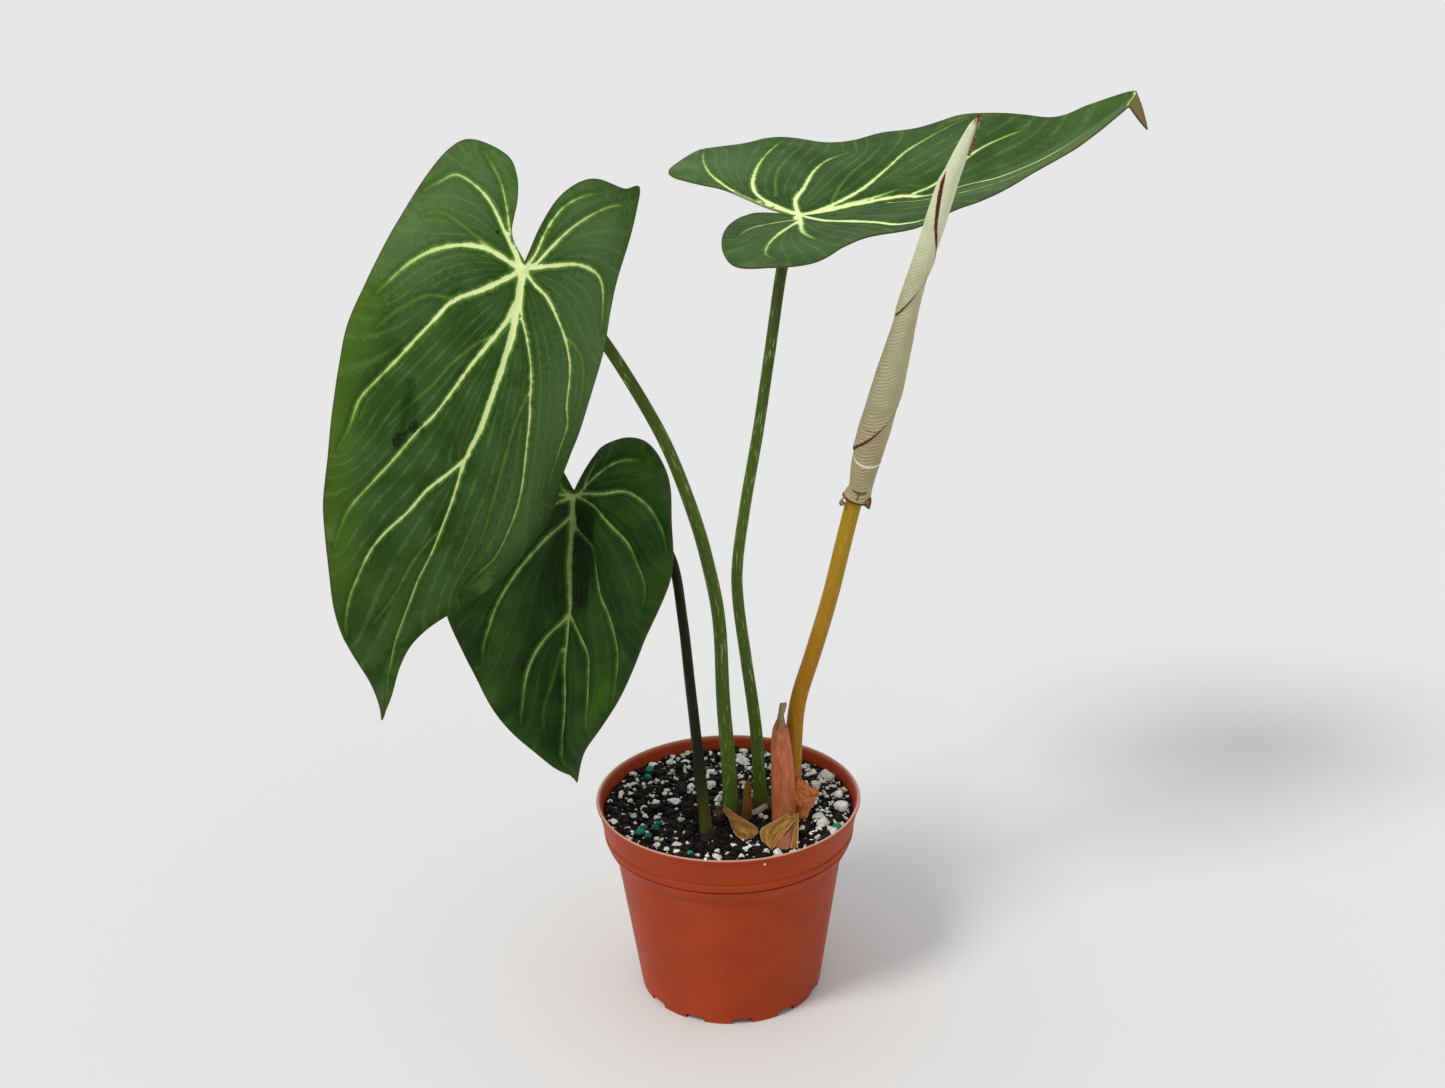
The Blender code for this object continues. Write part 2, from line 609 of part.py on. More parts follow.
# Stems
def build_rhizome(parts, cutters):
    """A knobbly creeping stem with a plain hole for each petiole it carries."""
    path = smooth_points(RHIZOME_PATH, RHIZOME_STEP)
    radii = []
    for i in range(len(path)):
        share = i / (len(path) - 1)
        radii.append(blend(RHIZOME_RADII, share) - 0.35 * (i % 2))
    rhizome = curve_to_mesh(tube_object("rhizome", path, radii, parts, sides=3), parts)
    rhizome.data.materials.append(finish_material("rhizome"))
    holes = [stem_hole(s, cutters) for s in STEMS if s.path[0][2] == RHIZOME_FOOT]
    cut(rhizome, holes)
    rhizome.data.shade_smooth()
    rhizome.data.set_sharp_from_angle(angle=math.radians(50))


def build_stems(parts):
    """Each petiole is a tapering tube along its own centre line."""
    for stem in STEMS:
        straight = [Vector(stem.path[0])]
        path = straight + smooth_points(stem.path[1:], 11.0)
        tube_object(stem.name, path, stem.radii, parts, stem.finish)


# Blades
class BladeShape:
    """Maps a blade's flat points to their place in space."""

    def __init__(self, blade):
        self.blade = blade
        heading, droop, roll = (math.radians(a) for a in (blade.heading, blade.droop, blade.roll))
        along = Vector((math.cos(droop) * math.cos(heading), math.cos(droop) * math.sin(heading),
                        -math.sin(droop)))
        level = Vector((math.sin(heading), -math.cos(heading), 0))
        self.across = math.cos(roll) * level + math.sin(roll) * level.cross(along)
        self.along = along
        self.up = self.across.cross(along)
        self.spine = self.spine_table()

    def bend_at(self, v):
        """Angle by which the midrib has bent down at v."""
        blade = self.blade
        rate = blade.bend if v > 0 else blade.lobe_bend
        angle = math.radians(rate) * v / 100
        share = min(max((v - blade.tip_bend_start) / blade.tip_bend_length, 0.0), 1.0)
        return angle + math.radians(blade.tip_bend) * share * share * (3 - 2 * share)

    def spine_table(self):
        """Midrib points every millimetre, from behind the lobes to past the tip."""
        table = {0: (0.0, 0.0)}
        for sign in (1, -1):
            y = z = 0.0
            for i in range(1, 200):
                angle = self.bend_at(sign * (i - 0.5))
                y += sign * math.cos(angle)
                z -= sign * math.sin(angle)
                table[sign * i] = (y, z)
        return table

    def spine_at(self, v):
        """Place on the midrib at v, by interpolation in the table."""
        low = math.floor(v)
        share = v - low
        (y0, z0), (y1, z1) = self.spine[low], self.spine[low + 1]
        return y0 + (y1 - y0) * share, z0 + (z1 - z0) * share

    def place(self, u, v):
        """The point of the blade's upper face at flat point (u, v)."""
        blade = self.blade
        share = v / blade.length
        fold = blade.fold[0] + (blade.fold[1] - blade.fold[0]) * min(max(share, 0.0), 1.0)
        fold = math.radians(fold + blade.lobe_fold * min(max(-4 * share, 0.0), 1.2))
        curl = math.radians(blade.curl[0] if u > 0 else blade.curl[1]) / blade.half_width
        reach = abs(u)
        side = (math.sin(fold + curl * reach) - math.sin(fold)) / curl
        lift = (math.cos(fold) - math.cos(fold + curl * reach)) / curl
        side = math.copysign(side, u) + self.sway_at(share)
        twist = math.radians(blade.twist) * max(v, -60.0) / 100
        x = side * math.cos(twist) - lift * math.sin(twist)
        lift = side * math.sin(twist) + lift * math.cos(twist)
        y, z = self.spine_at(v)
        angle = self.bend_at(v)
        y += lift * math.sin(angle)
        z += lift * math.cos(angle)
        return Vector(blade.joint) + self.across * x + self.along * y + self.up * z

    def sway_at(self, share):
        """Sideways wander of the midrib along the blade."""
        stations = (-0.5, 0.0, 0.15, 0.35, 0.6, 0.82, 1.0, 1.6)
        drifts = (0.0, 0.0, *self.blade.sway, 0.0, 0.0)
        for i in range(len(stations) - 1):
            if share <= stations[i + 1]:
                t = (share - stations[i]) / (stations[i + 1] - stations[i])
                t = min(max(t, 0.0), 1.0)
                ease = t * t * (3 - 2 * t)
                return drifts[i] + (drifts[i + 1] - drifts[i]) * ease
        return 0.0

    def normal(self, u, v):
        """Upward normal of the upper face at (u, v)."""
        du = self.place(u + 0.5, v) - self.place(u - 0.5, v)
        dv = self.place(u, v + 0.5) - self.place(u, v - 0.5)
        return du.cross(dv).normalized()


def flat_outline(blade, step):
    """The blade's closed outline, counter-clockwise from the sinus."""
    plus = smooth_points([(*p, 0) for p in blade.plus_side], step)
    minus = smooth_points([(*p, 0) for p in blade.minus_side], step)
    return [p.xy for p in plus] + [p.xy for p in reversed(minus[1:-1])]


def inside(point, outline):
    """Whether a flat point lies inside a closed outline."""
    odd = False
    for a, b in zip(outline, outline[1:] + outline[:1]):
        if (a.y > point.y) != (b.y > point.y):
            if point.x < a.x + (b.x - a.x) * (point.y - a.y) / (b.y - a.y):
                odd = not odd
    return odd


def flat_blade(blade):
    """Split the flat blade into triangles with points along the veins.

    Returns the points, the triangles and each point's share of rib depth.
    """
    outline = flat_outline(blade, GRID * 0.8)
    points = list(outline)
    edges = [(i, (i + 1) % len(outline)) for i in range(len(outline))]
    ribs = [0.0] * len(points)
    for rank, vein in enumerate(blade.veins):
        run = [p.xy for p in smooth_points([(*p, 0) for p in vein], GRID * 0.9)]
        for i, point in enumerate(run):
            near = min((point - other).length for other in points)
            if near > GRID * 0.3 and inside(point, outline):
                points.append(point)
                strength = 1.0 if rank == 0 else 0.65
                ribs.append(strength * (1 - 0.75 * i / len(run)))
    rows = int(2.4 * blade.length / GRID)
    for row in range(-rows, rows):
        for column in range(-rows, rows):
            point = Vector(((column + 0.5 * (row % 2)) * GRID, row * GRID * 0.866))
            near = min((point - other).length for other in points)
            if near > GRID * 0.62 and inside(point, outline):
                points.append(point)
                ribs.append(0.0)
    found = delaunay_2d_cdt(points, edges, [], 1, 1e-5)
    shares = []
    for point, group in zip(found[0], found[3]):
        rib = max((ribs[k] for k in group), default=0.0)
        shares.append(max(rib, 1 - point.length / HUB_REACH))
    return found[0], found[2], shares


def build_blade(blade, parts):
    """Bend the flat blade into place, then thicken it below with its ribs."""
    shape = BladeShape(blade)
    points, triangles, shares = flat_blade(blade)
    mesh = bpy.data.meshes.new(blade.name)
    places = []
    for point, share in zip(points, shares):
        edge = min(abs(point.x) / blade.half_width, 1.0)
        wave = WAVE_HEIGHT * edge ** 3 * math.sin(2 * math.pi * point.y / WAVE_LENGTH)
        lift = wave - (VEIN_SINK if share > 0 else 0.0)
        places.append((shape.place(point.x, point.y) + shape.normal(point.x, point.y) * lift) * MM)
    mesh.from_pydata(places, [], triangles)
    thing = new_object(blade.name, mesh, parts, blade.finish, smooth_angle=60)
    group = thing.vertex_groups.new(name="ribs")
    for i, share in enumerate(shares):
        group.add([i], share, "REPLACE")
    skin = thing.modifiers.new("thickness", "SOLIDIFY")
    skin.thickness = RIB_DEPTH * MM
    skin.offset = -1.0
    skin.vertex_group = "ribs"
    skin.thickness_vertex_group = LAMINA / RIB_DEPTH


# Rolled new leaf
def build_spear(parts, cutters):
    """A rolled blade: a slim body whose lapped edge winds up it, on its petiole."""
    axis = smooth_points([centre for centre, _ in SPEAR], 1.0)
    marks = [centre[2] for centre, _ in SPEAR]
    rings = []
    shape = bmesh.new()
    for i in range(SPEAR_RINGS):
        share = (i / (SPEAR_RINGS - 1)) ** 1.15
        k = round(share * (len(axis) - 1))
        centre = axis[k]
        tangent = (axis[min(k + 1, len(axis) - 1)] - axis[max(k - 1, 0)]).normalized()
        side = tangent.cross(Vector((0, 1, 0))).normalized()
        front = side.cross(tangent)
        radius = spear_radius(centre.z, marks)
        ring = []
        for j in range(SPEAR_SIDES):
            angle = 2 * math.pi * j / SPEAR_SIDES
            lap = ((angle / (2 * math.pi) - SPEAR_TURNS * share) % 1.0) * SPEAR_LAP
            reach = radius * (1 - SPEAR_LAP / 2 + lap)
            point = centre + (side * math.cos(angle) + front * math.sin(angle)) * reach
            ring.append(shape.verts.new(point * MM))
        rings.append(ring)
    for a, b in zip(rings, rings[1:]):
        for j in range(SPEAR_SIDES):
            n = (j + 1) % SPEAR_SIDES
            shape.faces.new((a[j], a[n], b[n], b[j]))
    shape.faces.new(rings[0])
    shape.faces.new(rings[-1])
    bmesh.ops.triangulate(shape, faces=shape.faces)
    spear = new_object("leaf_new_rolled", bmesh_to_mesh(shape, "leaf_new_rolled"), parts,
                       "new_leaf", smooth_angle=None)
    stem = STEMS[-1]
    head, below = Vector(stem.path[-1]), Vector(stem.path[-2])
    along = (head - below).normalized()
    socket = cylinder_between("socket", head - along * (SOCKET_DEPTH + 4), head + along * GAP,
                              stem.radii[-1] + GAP * 1.6, cutters, 16)
    cut(spear, [socket])
    spear.data.shade_smooth()
    spear.data.set_sharp_from_angle(angle=math.radians(40))


def spear_radius(height, marks):
    """Radius of the rolled leaf at a height, read between its stations."""
    for i in range(len(marks) - 1):
        if height <= marks[i + 1]:
            t = (height - marks[i]) / (marks[i + 1] - marks[i])
            return SPEAR[i][1] + (SPEAR[i + 1][1] - SPEAR[i][1]) * t
    return SPEAR[-1][1]


# Bracts
def build_sheath(sheath, parts, rows=7, columns=6):
    """A strip wrapped round a bowed axis, crumpled by a formula, then thickened."""
    foot, head = Vector(sheath.foot), Vector(sheath.head)
    facing = math.radians(sheath.facing)
    front = Vector((math.cos(facing), math.sin(facing), 0))
    side = Vector((-front.y, front.x, 0))
    shape = bmesh.new()
    grid = []
    for i in range(rows):
        t = i / (rows - 1)
        centre = foot.lerp(head, t) + front * sheath.bow * math.sin(math.pi * t)
        radius = blend(sheath.radii, t)
        wrap = math.radians(blend(sheath.wrap, t))
        row = []
        for j in range(columns):
            angle = wrap * (j / (columns - 1) - 0.5)
            crease = sheath.crumple * t * math.sin(3.1 * j + 2.3 * i)
            reach = radius + crease
            point = centre + (front * math.cos(angle) + side * math.sin(angle)) * reach
            row.append(shape.verts.new(point * MM))
        grid.append(row)
    for a, b in zip(grid, grid[1:]):
        for j in range(columns - 1):
            shape.faces.new((a[j], a[j + 1], b[j + 1], b[j]))
    bmesh.ops.triangulate(shape, faces=shape.faces)
    mesh = bpy.data.meshes.new(sheath.name)
    shape.to_mesh(mesh)
    shape.free()
    thing = new_object(sheath.name, mesh, parts, sheath.finish, smooth_angle=60)
    skin = thing.modifiers.new("thickness", "SOLIDIFY")
    skin.thickness = sheath.thickness * MM
    skin.offset = -1.0
    bake_modifiers(thing)
    lowest = min(vert.co.z for vert in thing.data.vertices)
    for vert in thing.data.vertices:
        vert.co.z += SEAT * MM - lowest


def main():
    """Build every piece in its own collection."""
    for thing in list(bpy.data.objects):
        bpy.data.objects.remove(thing)
    parts = bpy.data.collections.new("potted zebra gloriosum philodendron")
    cutters = bpy.data.collections.new("cutters")
    for group in (parts, cutters):
        bpy.context.scene.collection.children.link(group)
    build_pot(parts, cutters)
    build_soil(parts, cutters)
    build_rhizome(parts, cutters)
    build_stems(parts)
    for blade in BLADES:
        build_blade(blade, parts)
    build_spear(parts, cutters)
    for sheath in SHEATHS:
        build_sheath(sheath, parts)


main()
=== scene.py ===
"""Dressed model of a potted zebra gloriosum philodendron.

Three velvety striped leaves and a rolled new leaf stand in a terracotta-coloured
nursery pot of potting mix. Lengths are in millimetres until a mesh is made, and the
viewer stands at -Y.
"""
import logging
import math
import random
from collections.abc import Sequence
from dataclasses import dataclass, field
from enum import Enum
from functools import cache

import bmesh
import bpy
import numpy as np
from mathutils import Matrix, Vector, noise
from mathutils.geometry import delaunay_2d_cdt


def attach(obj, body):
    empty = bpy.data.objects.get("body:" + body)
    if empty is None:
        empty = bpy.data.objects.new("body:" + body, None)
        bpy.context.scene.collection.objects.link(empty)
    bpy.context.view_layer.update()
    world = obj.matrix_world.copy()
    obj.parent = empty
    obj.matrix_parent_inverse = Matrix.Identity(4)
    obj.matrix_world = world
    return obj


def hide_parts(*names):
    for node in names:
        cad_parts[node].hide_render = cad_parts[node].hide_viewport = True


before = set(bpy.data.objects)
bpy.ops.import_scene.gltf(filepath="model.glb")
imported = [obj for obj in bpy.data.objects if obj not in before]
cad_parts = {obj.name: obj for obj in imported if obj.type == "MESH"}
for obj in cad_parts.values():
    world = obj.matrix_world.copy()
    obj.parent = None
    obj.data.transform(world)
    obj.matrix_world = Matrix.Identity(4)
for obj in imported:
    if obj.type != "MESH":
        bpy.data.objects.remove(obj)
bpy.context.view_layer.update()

LOG = logging.getLogger("potted_plant")
MM = 0.001
BODY = "root"
TURN = 2 * math.pi
IMAGE_WIDTH = 1445
SOIL_LEVEL = 76.8
TO_VIEWER = (0.0, -1.0, 0.0)
TRIANGLE_ROW = 0.866
JOINING_REACH = 1e-5
SETTLING_ROUNDS = 500
LUMP_FACETS = 7
SHEET_CREASE = 60.0
ROUND_CREASE = 80.0

Colour = tuple[float, float, float]
Point = tuple[float, float, float]
Flat = tuple[float, float]
Layers = dict[str, np.ndarray]
Shape = tuple[np.ndarray, list, Layers]
Socket = bpy.types.NodeSocket
Piece = bpy.types.Object


def screen(red: int, green: int, blue: int) -> Colour:
    """Give the linear colour, from 0 to 1, of a screen colour from 0 to 255."""
    parts = [c / 255 for c in (red, green, blue)]
    return tuple(c / 12.92 if c <= 0.04045 else ((c + 0.055) / 1.055) ** 2.4 for c in parts)


class Blend(Enum):
    """How two colours are joined."""

    OVER = "MIX"
    MULTIPLY = "MULTIPLY"


class NodeKit:
    """Builds the node tree of one finish, a node a call."""

    def __init__(self, name: str) -> None:
        """Start a material that holds one Principled shader.

        Args:
            name: The material's name.
        """
        self.material = bpy.data.materials.new(name)
        self.material.use_nodes = True
        self.tree = self.material.node_tree
        self.shader = self.tree.nodes["Principled BSDF"]

    def put(self, socket: Socket, value: object) -> None:
        """Link an output to a socket, or set the socket's own value.

        Args:
            socket: The input to fill.
            value: An output socket, a number, a vector or a colour.
        """
        if isinstance(value, Socket):
            self.tree.links.new(value, socket)
        elif socket.type == "RGBA":
            socket.default_value = (*value, 1.0)
        else:
            socket.default_value = value

    def make(self, kind: str, values: dict, output: int = 0, **settings: object) -> Socket:
        """Add a node and fill its inputs.

        Args:
            kind: The node's type name.
            values: Values for its inputs, by name or number.
            output: The number of the output to give back.
            settings: The node's own properties.

        Returns:
            The chosen output.
        """
        node = self.tree.nodes.new(kind)
        for key, value in settings.items():
            setattr(node, key, value)
        for key, value in values.items():
            self.put(node.inputs[key], value)
        return node.outputs[output]

    def value(self, name: str) -> Socket:
        """Read a number that the mesh carries."""
        return self.make("ShaderNodeAttribute", {}, 2, attribute_name=name)

    def vector(self, name: str) -> Socket:
        """Read a vector that the mesh carries."""
        return self.make("ShaderNodeAttribute", {}, 1, attribute_name=name)

    def place(self) -> Socket:
        """Give the place on the piece, in millimetres."""
        spot = self.make("ShaderNodeTexCoord", {}, 3)
        return self.stretch(spot, (1000.0, 1000.0, 1000.0))

    def stretch(self, vector: Socket, factor: Point) -> Socket:
        """Multiply a vector part by part."""
        return self.make("ShaderNodeVectorMath", {0: vector, 1: factor}, operation="MULTIPLY")

    def parts(self, vector: Socket) -> tuple[Socket, ...]:
        """Split a vector into its three parts."""
        first = self.make("ShaderNodeSeparateXYZ", {0: vector})
        return tuple(first.node.outputs)

    def join(self, x: object, y: object, z: object = 0.0) -> Socket:
        """Make a vector of three numbers."""
        return self.make("ShaderNodeCombineXYZ", {0: x, 1: y, 2: z})

    def math(self, operation: str, first: object, second: object = 0.0) -> Socket:
        """Join two numbers by one operation."""
        return self.make("ShaderNodeMath", {0: first, 1: second}, operation=operation)

    def add(self, first: object, second: object) -> Socket:
        """Add two numbers."""
        return self.math("ADD", first, second)

    def times(self, first: object, second: object) -> Socket:
        """Multiply two numbers."""
        return self.math("MULTIPLY", first, second)

    def centred(self, value: object, reach: object) -> Socket:
        """Carry a value from 0 to 1 onto a reach that has zero in its middle."""
        return self.times(self.math("SUBTRACT", value, 0.5), reach)

    def noise(self, vector: Socket, scale: float, detail: float = 2.0, roughness: float = 0.5) -> Socket:
        """Give cloudy noise from 0 to 1, with the scale in cells for each unit of the vector."""
        values = {"Vector": vector, "Scale": scale, "Detail": detail, "Roughness": roughness}
        return self.make("ShaderNodeTexNoise", values)

    def cells(self, vector: Socket, scale: float) -> Socket:
        """Give the distance to the nearest cell's point."""
        return self.make("ShaderNodeTexVoronoi", {"Vector": vector, "Scale": scale})

    def band(self, value: object, low: float, high: float) -> Socket:
        """Rise smoothly from 0 at low to 1 at high."""
        values = {0: value, 1: low, 2: high}
        return self.make("ShaderNodeMapRange", values, interpolation_type="SMOOTHSTEP")

    def span(self, value: object, low: float, high: float) -> Socket:
        """Carry a value from 0 to 1 evenly onto low to high."""
        return self.make("ShaderNodeMapRange", {0: value, 3: low, 4: high})

    def mix(self, share: object, first: object, second: object, way: Blend = Blend.OVER) -> Socket:
        """Lay a share of the second colour over the first."""
        values = {0: share, 6: first, 7: second}
        return self.make("ShaderNodeMix", values, 2, data_type="RGBA", blend_type=way.value)

    def tint(self, share: object, colour: object, shade: Colour) -> Socket:
        """Multiply a colour by a shade, as far as the share says."""
        return self.mix(share, colour, shade, Blend.MULTIPLY)

    def finish(self, colour: object, roughness: object, relief: object, depth: float,
               **constants: float) -> None:
        """Fill the shader.

        Args:
            colour: Its base colour.
            roughness: Its roughness.
            relief: Height from 0 to 1 for its bump.
            depth: What a height of 1 stands for, in millimetres.
            constants: Other sockets, with underscores for spaces.
        """
        bump = self.make("ShaderNodeBump", {"Height": relief, "Strength": 1.0, "Distance": depth * MM})
        self.put(self.shader.inputs["Base Color"], colour)
        self.put(self.shader.inputs["Roughness"], roughness)
        self.put(self.shader.inputs["Normal"], bump)
        for name, value in constants.items():
            self.put(self.shader.inputs[name.replace("_", " ")], value)


@dataclass(frozen=True)
class Finish:
    """A surface finish of the plant or its pot."""

    name: str

    def material(self) -> bpy.types.Material:
        """Make the finish's material the first time it is asked for.

        Returns:
            The material.
        """
        found = bpy.data.materials.get(self.name)
        if found:
            return found
        kit = NodeKit(self.name)
        self.paint(kit)
        return kit.material

    def paint(self, kit: NodeKit) -> None:
        """Build the finish's nodes."""
        raise NotImplementedError


@dataclass(frozen=True)
class VelvetLeaf(Finish):
    """Velvety blade with pale feathered veins and fine lines between them."""

    deep: Colour
    cool: Colour
    warm: Colour
    vein: Colour
    vein_end: Colour
    line: Colour
    underside: Colour
    under_vein: Colour
    edge: Colour
    halo: Colour
    # Colour of the painted sheen in lighter patches.
    painted_sheen_and_shade: Colour
    dry: Colour = screen(128, 112, 30)
    feather: float = 2.6
    lines: float = 0.36
    rows: float = 5.0

    def veins(self, kit: NodeKit, ground: Socket) -> Socket:
        """Lay the feathered veins over the ground.

        Args:
            kit: The finish's node kit.
            ground: The colour between the veins.

        Returns:
            The colour with the veins.
        """
        run, gap, glow = kit.parts(kit.vector("near"))
        across, _, _ = kit.parts(kit.vector("flat"))
        slanted = kit.join(kit.add(kit.times(run, 0.83), kit.times(gap, -0.75)),
                           kit.add(kit.times(run, 0.23), kit.times(gap, 0.12)), kit.times(across, 0.37))
        reach = kit.span(kit.band(glow, 0.35, 1.0), 0.45, 1.0)
        ragged = kit.centred(kit.noise(slanted, 0.43, 3.0, 0.7), reach)
        edge = kit.add(kit.value("vein"), kit.centred(kit.noise(kit.vector("flat"), 0.23, 2.0), 0.7))
        brim = kit.add(edge, kit.times(ragged, self.feather))
        halo = kit.times(kit.band(brim, 1.15, -0.2), kit.span(glow, 0.15, 0.7))
        clean = kit.add(edge, kit.times(ragged, self.feather * 0.4))
        core = kit.times(kit.band(clean, 0.1, -0.42), kit.band(glow, 0.08, 0.66))
        pale = kit.mix(kit.band(glow, 0.3, 0.95), self.vein_end, self.vein)
        return kit.mix(core, kit.mix(halo, ground, self.halo), pale)

    def paint(self, kit: NodeKit) -> None:
        """Paint veins, fine lines, margin, wet spots, the dry tip and the paler underside, with painted
        sheen, painted shadow, painted shade beside the veins and partly painted glow.

        Args:
            kit: The finish's node kit.
        """
        flat = kit.vector("flat")
        vein = kit.value("vein")
        fine = kit.noise(flat, 0.55, 4.0, 0.6)
        nap = kit.noise(flat, 2.6, 3.0, 0.7)
        cloud = kit.band(kit.noise(flat, 0.06, 3.0), 0.36, 0.64)
        ground = kit.mix(cloud, self.deep, self.cool)
        # Yellower, lighter patches: partly the leaf's own colour, partly painted glow of light shining
        # through the blade.
        yellowing_and_glow = kit.add(kit.value("yellowing_and_glow"), kit.centred(fine, 0.35))
        ground = kit.mix(kit.band(yellowing_and_glow, 0.05, 0.95), ground, self.warm)
        # Painted sheen where the blade's layer is above zero.
        painted_sheen_and_shade = kit.add(kit.value("painted_sheen_and_shade"), kit.centred(fine, 0.9))
        ground = kit.mix(kit.times(kit.band(painted_sheen_and_shade, 0.0, 1.0), kit.span(cloud, 1.0, 0.6)), ground, self.painted_sheen_and_shade)
        phase = kit.add(kit.times(kit.value("rank"), TURN * self.rows), kit.times(fine, 3.0))
        wave = kit.band(kit.math("SINE", phase), 0.45, 1.0)
        patch = kit.band(kit.noise(flat, 0.12, 3.0), 0.36, 0.66)
        line = kit.times(kit.times(wave, kit.band(vein, 0.3, 1.6)), kit.span(patch, 0.25, 1.0))
        ground = kit.mix(kit.times(line, self.lines), ground, self.line)
        # Painted shade in the hollows beside the sunken veins.
        painted_vein_valley_shade = kit.times(kit.band(kit.add(vein, kit.times(fine, 1.5)), 3.6, 1.0), 0.5)
        ground = kit.tint(painted_vein_valley_shade, ground, (0.46, 0.56, 0.38))
        ground = kit.tint(kit.span(nap, 0.0, 0.4), ground, (0.42, 0.48, 0.4))
        top = self.veins(kit, ground)
        # Painted shadow where the blade's layer is below zero.
        top = kit.tint(kit.times(kit.band(painted_sheen_and_shade, -0.05, -0.95), 0.85), top, (0.24, 0.27, 0.2))
        wet = kit.value("wet")
        top = kit.tint(kit.times(wet, 0.9), top, (0.28, 0.48, 0.08))
        below = kit.mix(kit.times(line, 0.6), self.underside, self.under_vein)
        below = kit.tint(kit.times(fine, 0.5), below, (0.7, 0.78, 0.6))
        below = kit.mix(kit.band(vein, 0.5, -0.3), below, self.under_vein)
        both = kit.mix(kit.value("upper"), below, top)
        both = kit.mix(kit.value("dry"), both, kit.mix(kit.times(nap, 0.5), self.dry, self.edge))
        rim = kit.band(kit.value("margin"), 0.48, 0.2)
        both = kit.mix(kit.times(rim, 0.6), both, self.edge)
        gloss = kit.add(kit.span(fine, 0.44, 0.62), kit.times(wet, -0.2))
        relief = kit.add(kit.times(nap, 0.4), kit.add(kit.times(line, 0.7), kit.times(fine, 0.6)))
        kit.finish(both, gloss, relief, 0.22, Specular_IOR_Level=0.07)


@dataclass(frozen=True)
class PetioleSkin(Finish):
    """Smooth stalk skin with pale streaks and darker speckles."""

    foot: Colour
    body: Colour
    head: Colour
    streak: Colour
    speckle: Colour
    streaks: float = 0.5

    def paint(self, kit: NodeKit) -> None:
        """Paint a slow change of colour up the stalk, then its streaks and speckles.

        Args:
            kit: The finish's node kit.
        """
        flat = kit.vector("flat")
        along = kit.value("along")
        long = kit.stretch(flat, (1.0, 1.0, 0.14))
        cloud = kit.noise(long, 0.5, 3.0)
        base = kit.mix(kit.band(along, 0.0, 0.22), self.foot, self.body)
        base = kit.mix(kit.band(along, 0.45, 1.0), base, self.head)
        base = kit.tint(kit.span(cloud, 0.0, 0.5), base, (0.5, 0.5, 0.42))
        dash = kit.band(kit.noise(long, 1.35, 1.5, 0.4), 0.60, 0.70)
        base = kit.mix(kit.times(dash, self.streaks), base, self.streak)
        dots = kit.band(kit.cells(kit.stretch(flat, (1.0, 1.0, 0.5)), 1.1), 0.2, 0.1)
        base = kit.mix(kit.times(dots, 0.5), base, self.speckle)
        fibre = kit.noise(kit.stretch(flat, (1.0, 1.0, 0.03)), 2.4, 2.0)
        relief = kit.add(kit.times(fibre, 0.7), kit.times(dash, 0.3))
        kit.finish(base, kit.span(cloud, 0.36, 0.52), relief, 0.14, Specular_IOR_Level=0.14)


@dataclass(frozen=True)
class MouldedPot(Finish):
    """Terracotta-coloured moulded plastic, a little dusty."""

    body: Colour
    shade: Colour
    wear_and_painted_light: Colour

    def paint(self, kit: NodeKit) -> None:
        """Paint faint clouds, fine scuffs, a painted highlight along the lip, wear on the foot's edge and
        painted shadow lines in the grooves.

        Args:
            kit: The finish's node kit.
        """
        spot = kit.place()
        cloud = kit.noise(spot, 0.05, 4.0, 0.6)
        base = kit.mix(kit.band(cloud, 0.3, 0.7), self.body, self.shade)
        grain = kit.noise(spot, 1.6, 3.0, 0.6)
        base = kit.mix(kit.span(grain, 0.0, 0.05), base, self.wear_and_painted_light)
        scuff = kit.band(kit.noise(kit.stretch(spot, (1.0, 1.0, 0.16)), 0.55, 4.0, 0.7), 0.60, 0.78)
        base = kit.mix(kit.times(scuff, 0.05), base, self.wear_and_painted_light)
        wear_and_painted_light = kit.value("wear_and_painted_light")
        # Painted highlight along the lip and wear on the foot's edge, broken by the grain.
        base = kit.mix(kit.times(kit.band(wear_and_painted_light, 0.0, 1.0), kit.span(grain, 0.4, 1.0)), base, self.wear_and_painted_light)
        # Painted shadow lines in the grooves, where the layer is below zero.
        base = kit.tint(kit.band(wear_and_painted_light, 0.0, -1.0), base, (0.3, 0.22, 0.2))
        rough = kit.add(kit.span(grain, 0.36, 0.5), kit.times(scuff, 0.12))
        relief = kit.add(kit.times(grain, 0.6), kit.times(kit.noise(spot, 0.25, 2.0), 0.9))
        kit.finish(base, rough, relief, 0.06, Specular_IOR_Level=0.07)


@dataclass(frozen=True)
class Crumb(Finish):
    """Grainy matter, such as potting mix, perlite, bark or pellets."""

    low: Colour
    high: Colour
    pit: Colour
    grain: float
    depth: float
    roughness: float
    pits: float = 0.5
    flecks: float = 0.0

    def paint(self, kit: NodeKit) -> None:
        """Paint each lump's own tone, then its grain, pits and pale flecks.

        Args:
            kit: The finish's node kit.
        """
        spot = kit.place()
        tone = kit.value("tone")
        cloud = kit.noise(spot, self.grain, 4.0, 0.65)
        base = kit.mix(kit.add(tone, kit.centred(cloud, 0.8)), self.low, self.high)
        hole = kit.band(kit.cells(spot, self.grain * 1.7), 0.3, 0.08)
        base = kit.mix(kit.times(hole, self.pits), base, self.pit)
        fleck = kit.band(kit.noise(spot, 1.5, 2.0, 0.6), 0.66, 0.72)
        base = kit.mix(kit.times(fleck, self.flecks), base, screen(206, 202, 190))
        rough = kit.span(cloud, self.roughness - 0.12, self.roughness + 0.08)
        relief = kit.math("SUBTRACT", cloud, kit.times(hole, 0.6))
        kit.finish(base, rough, relief, self.depth, Specular_IOR_Level=0.12)


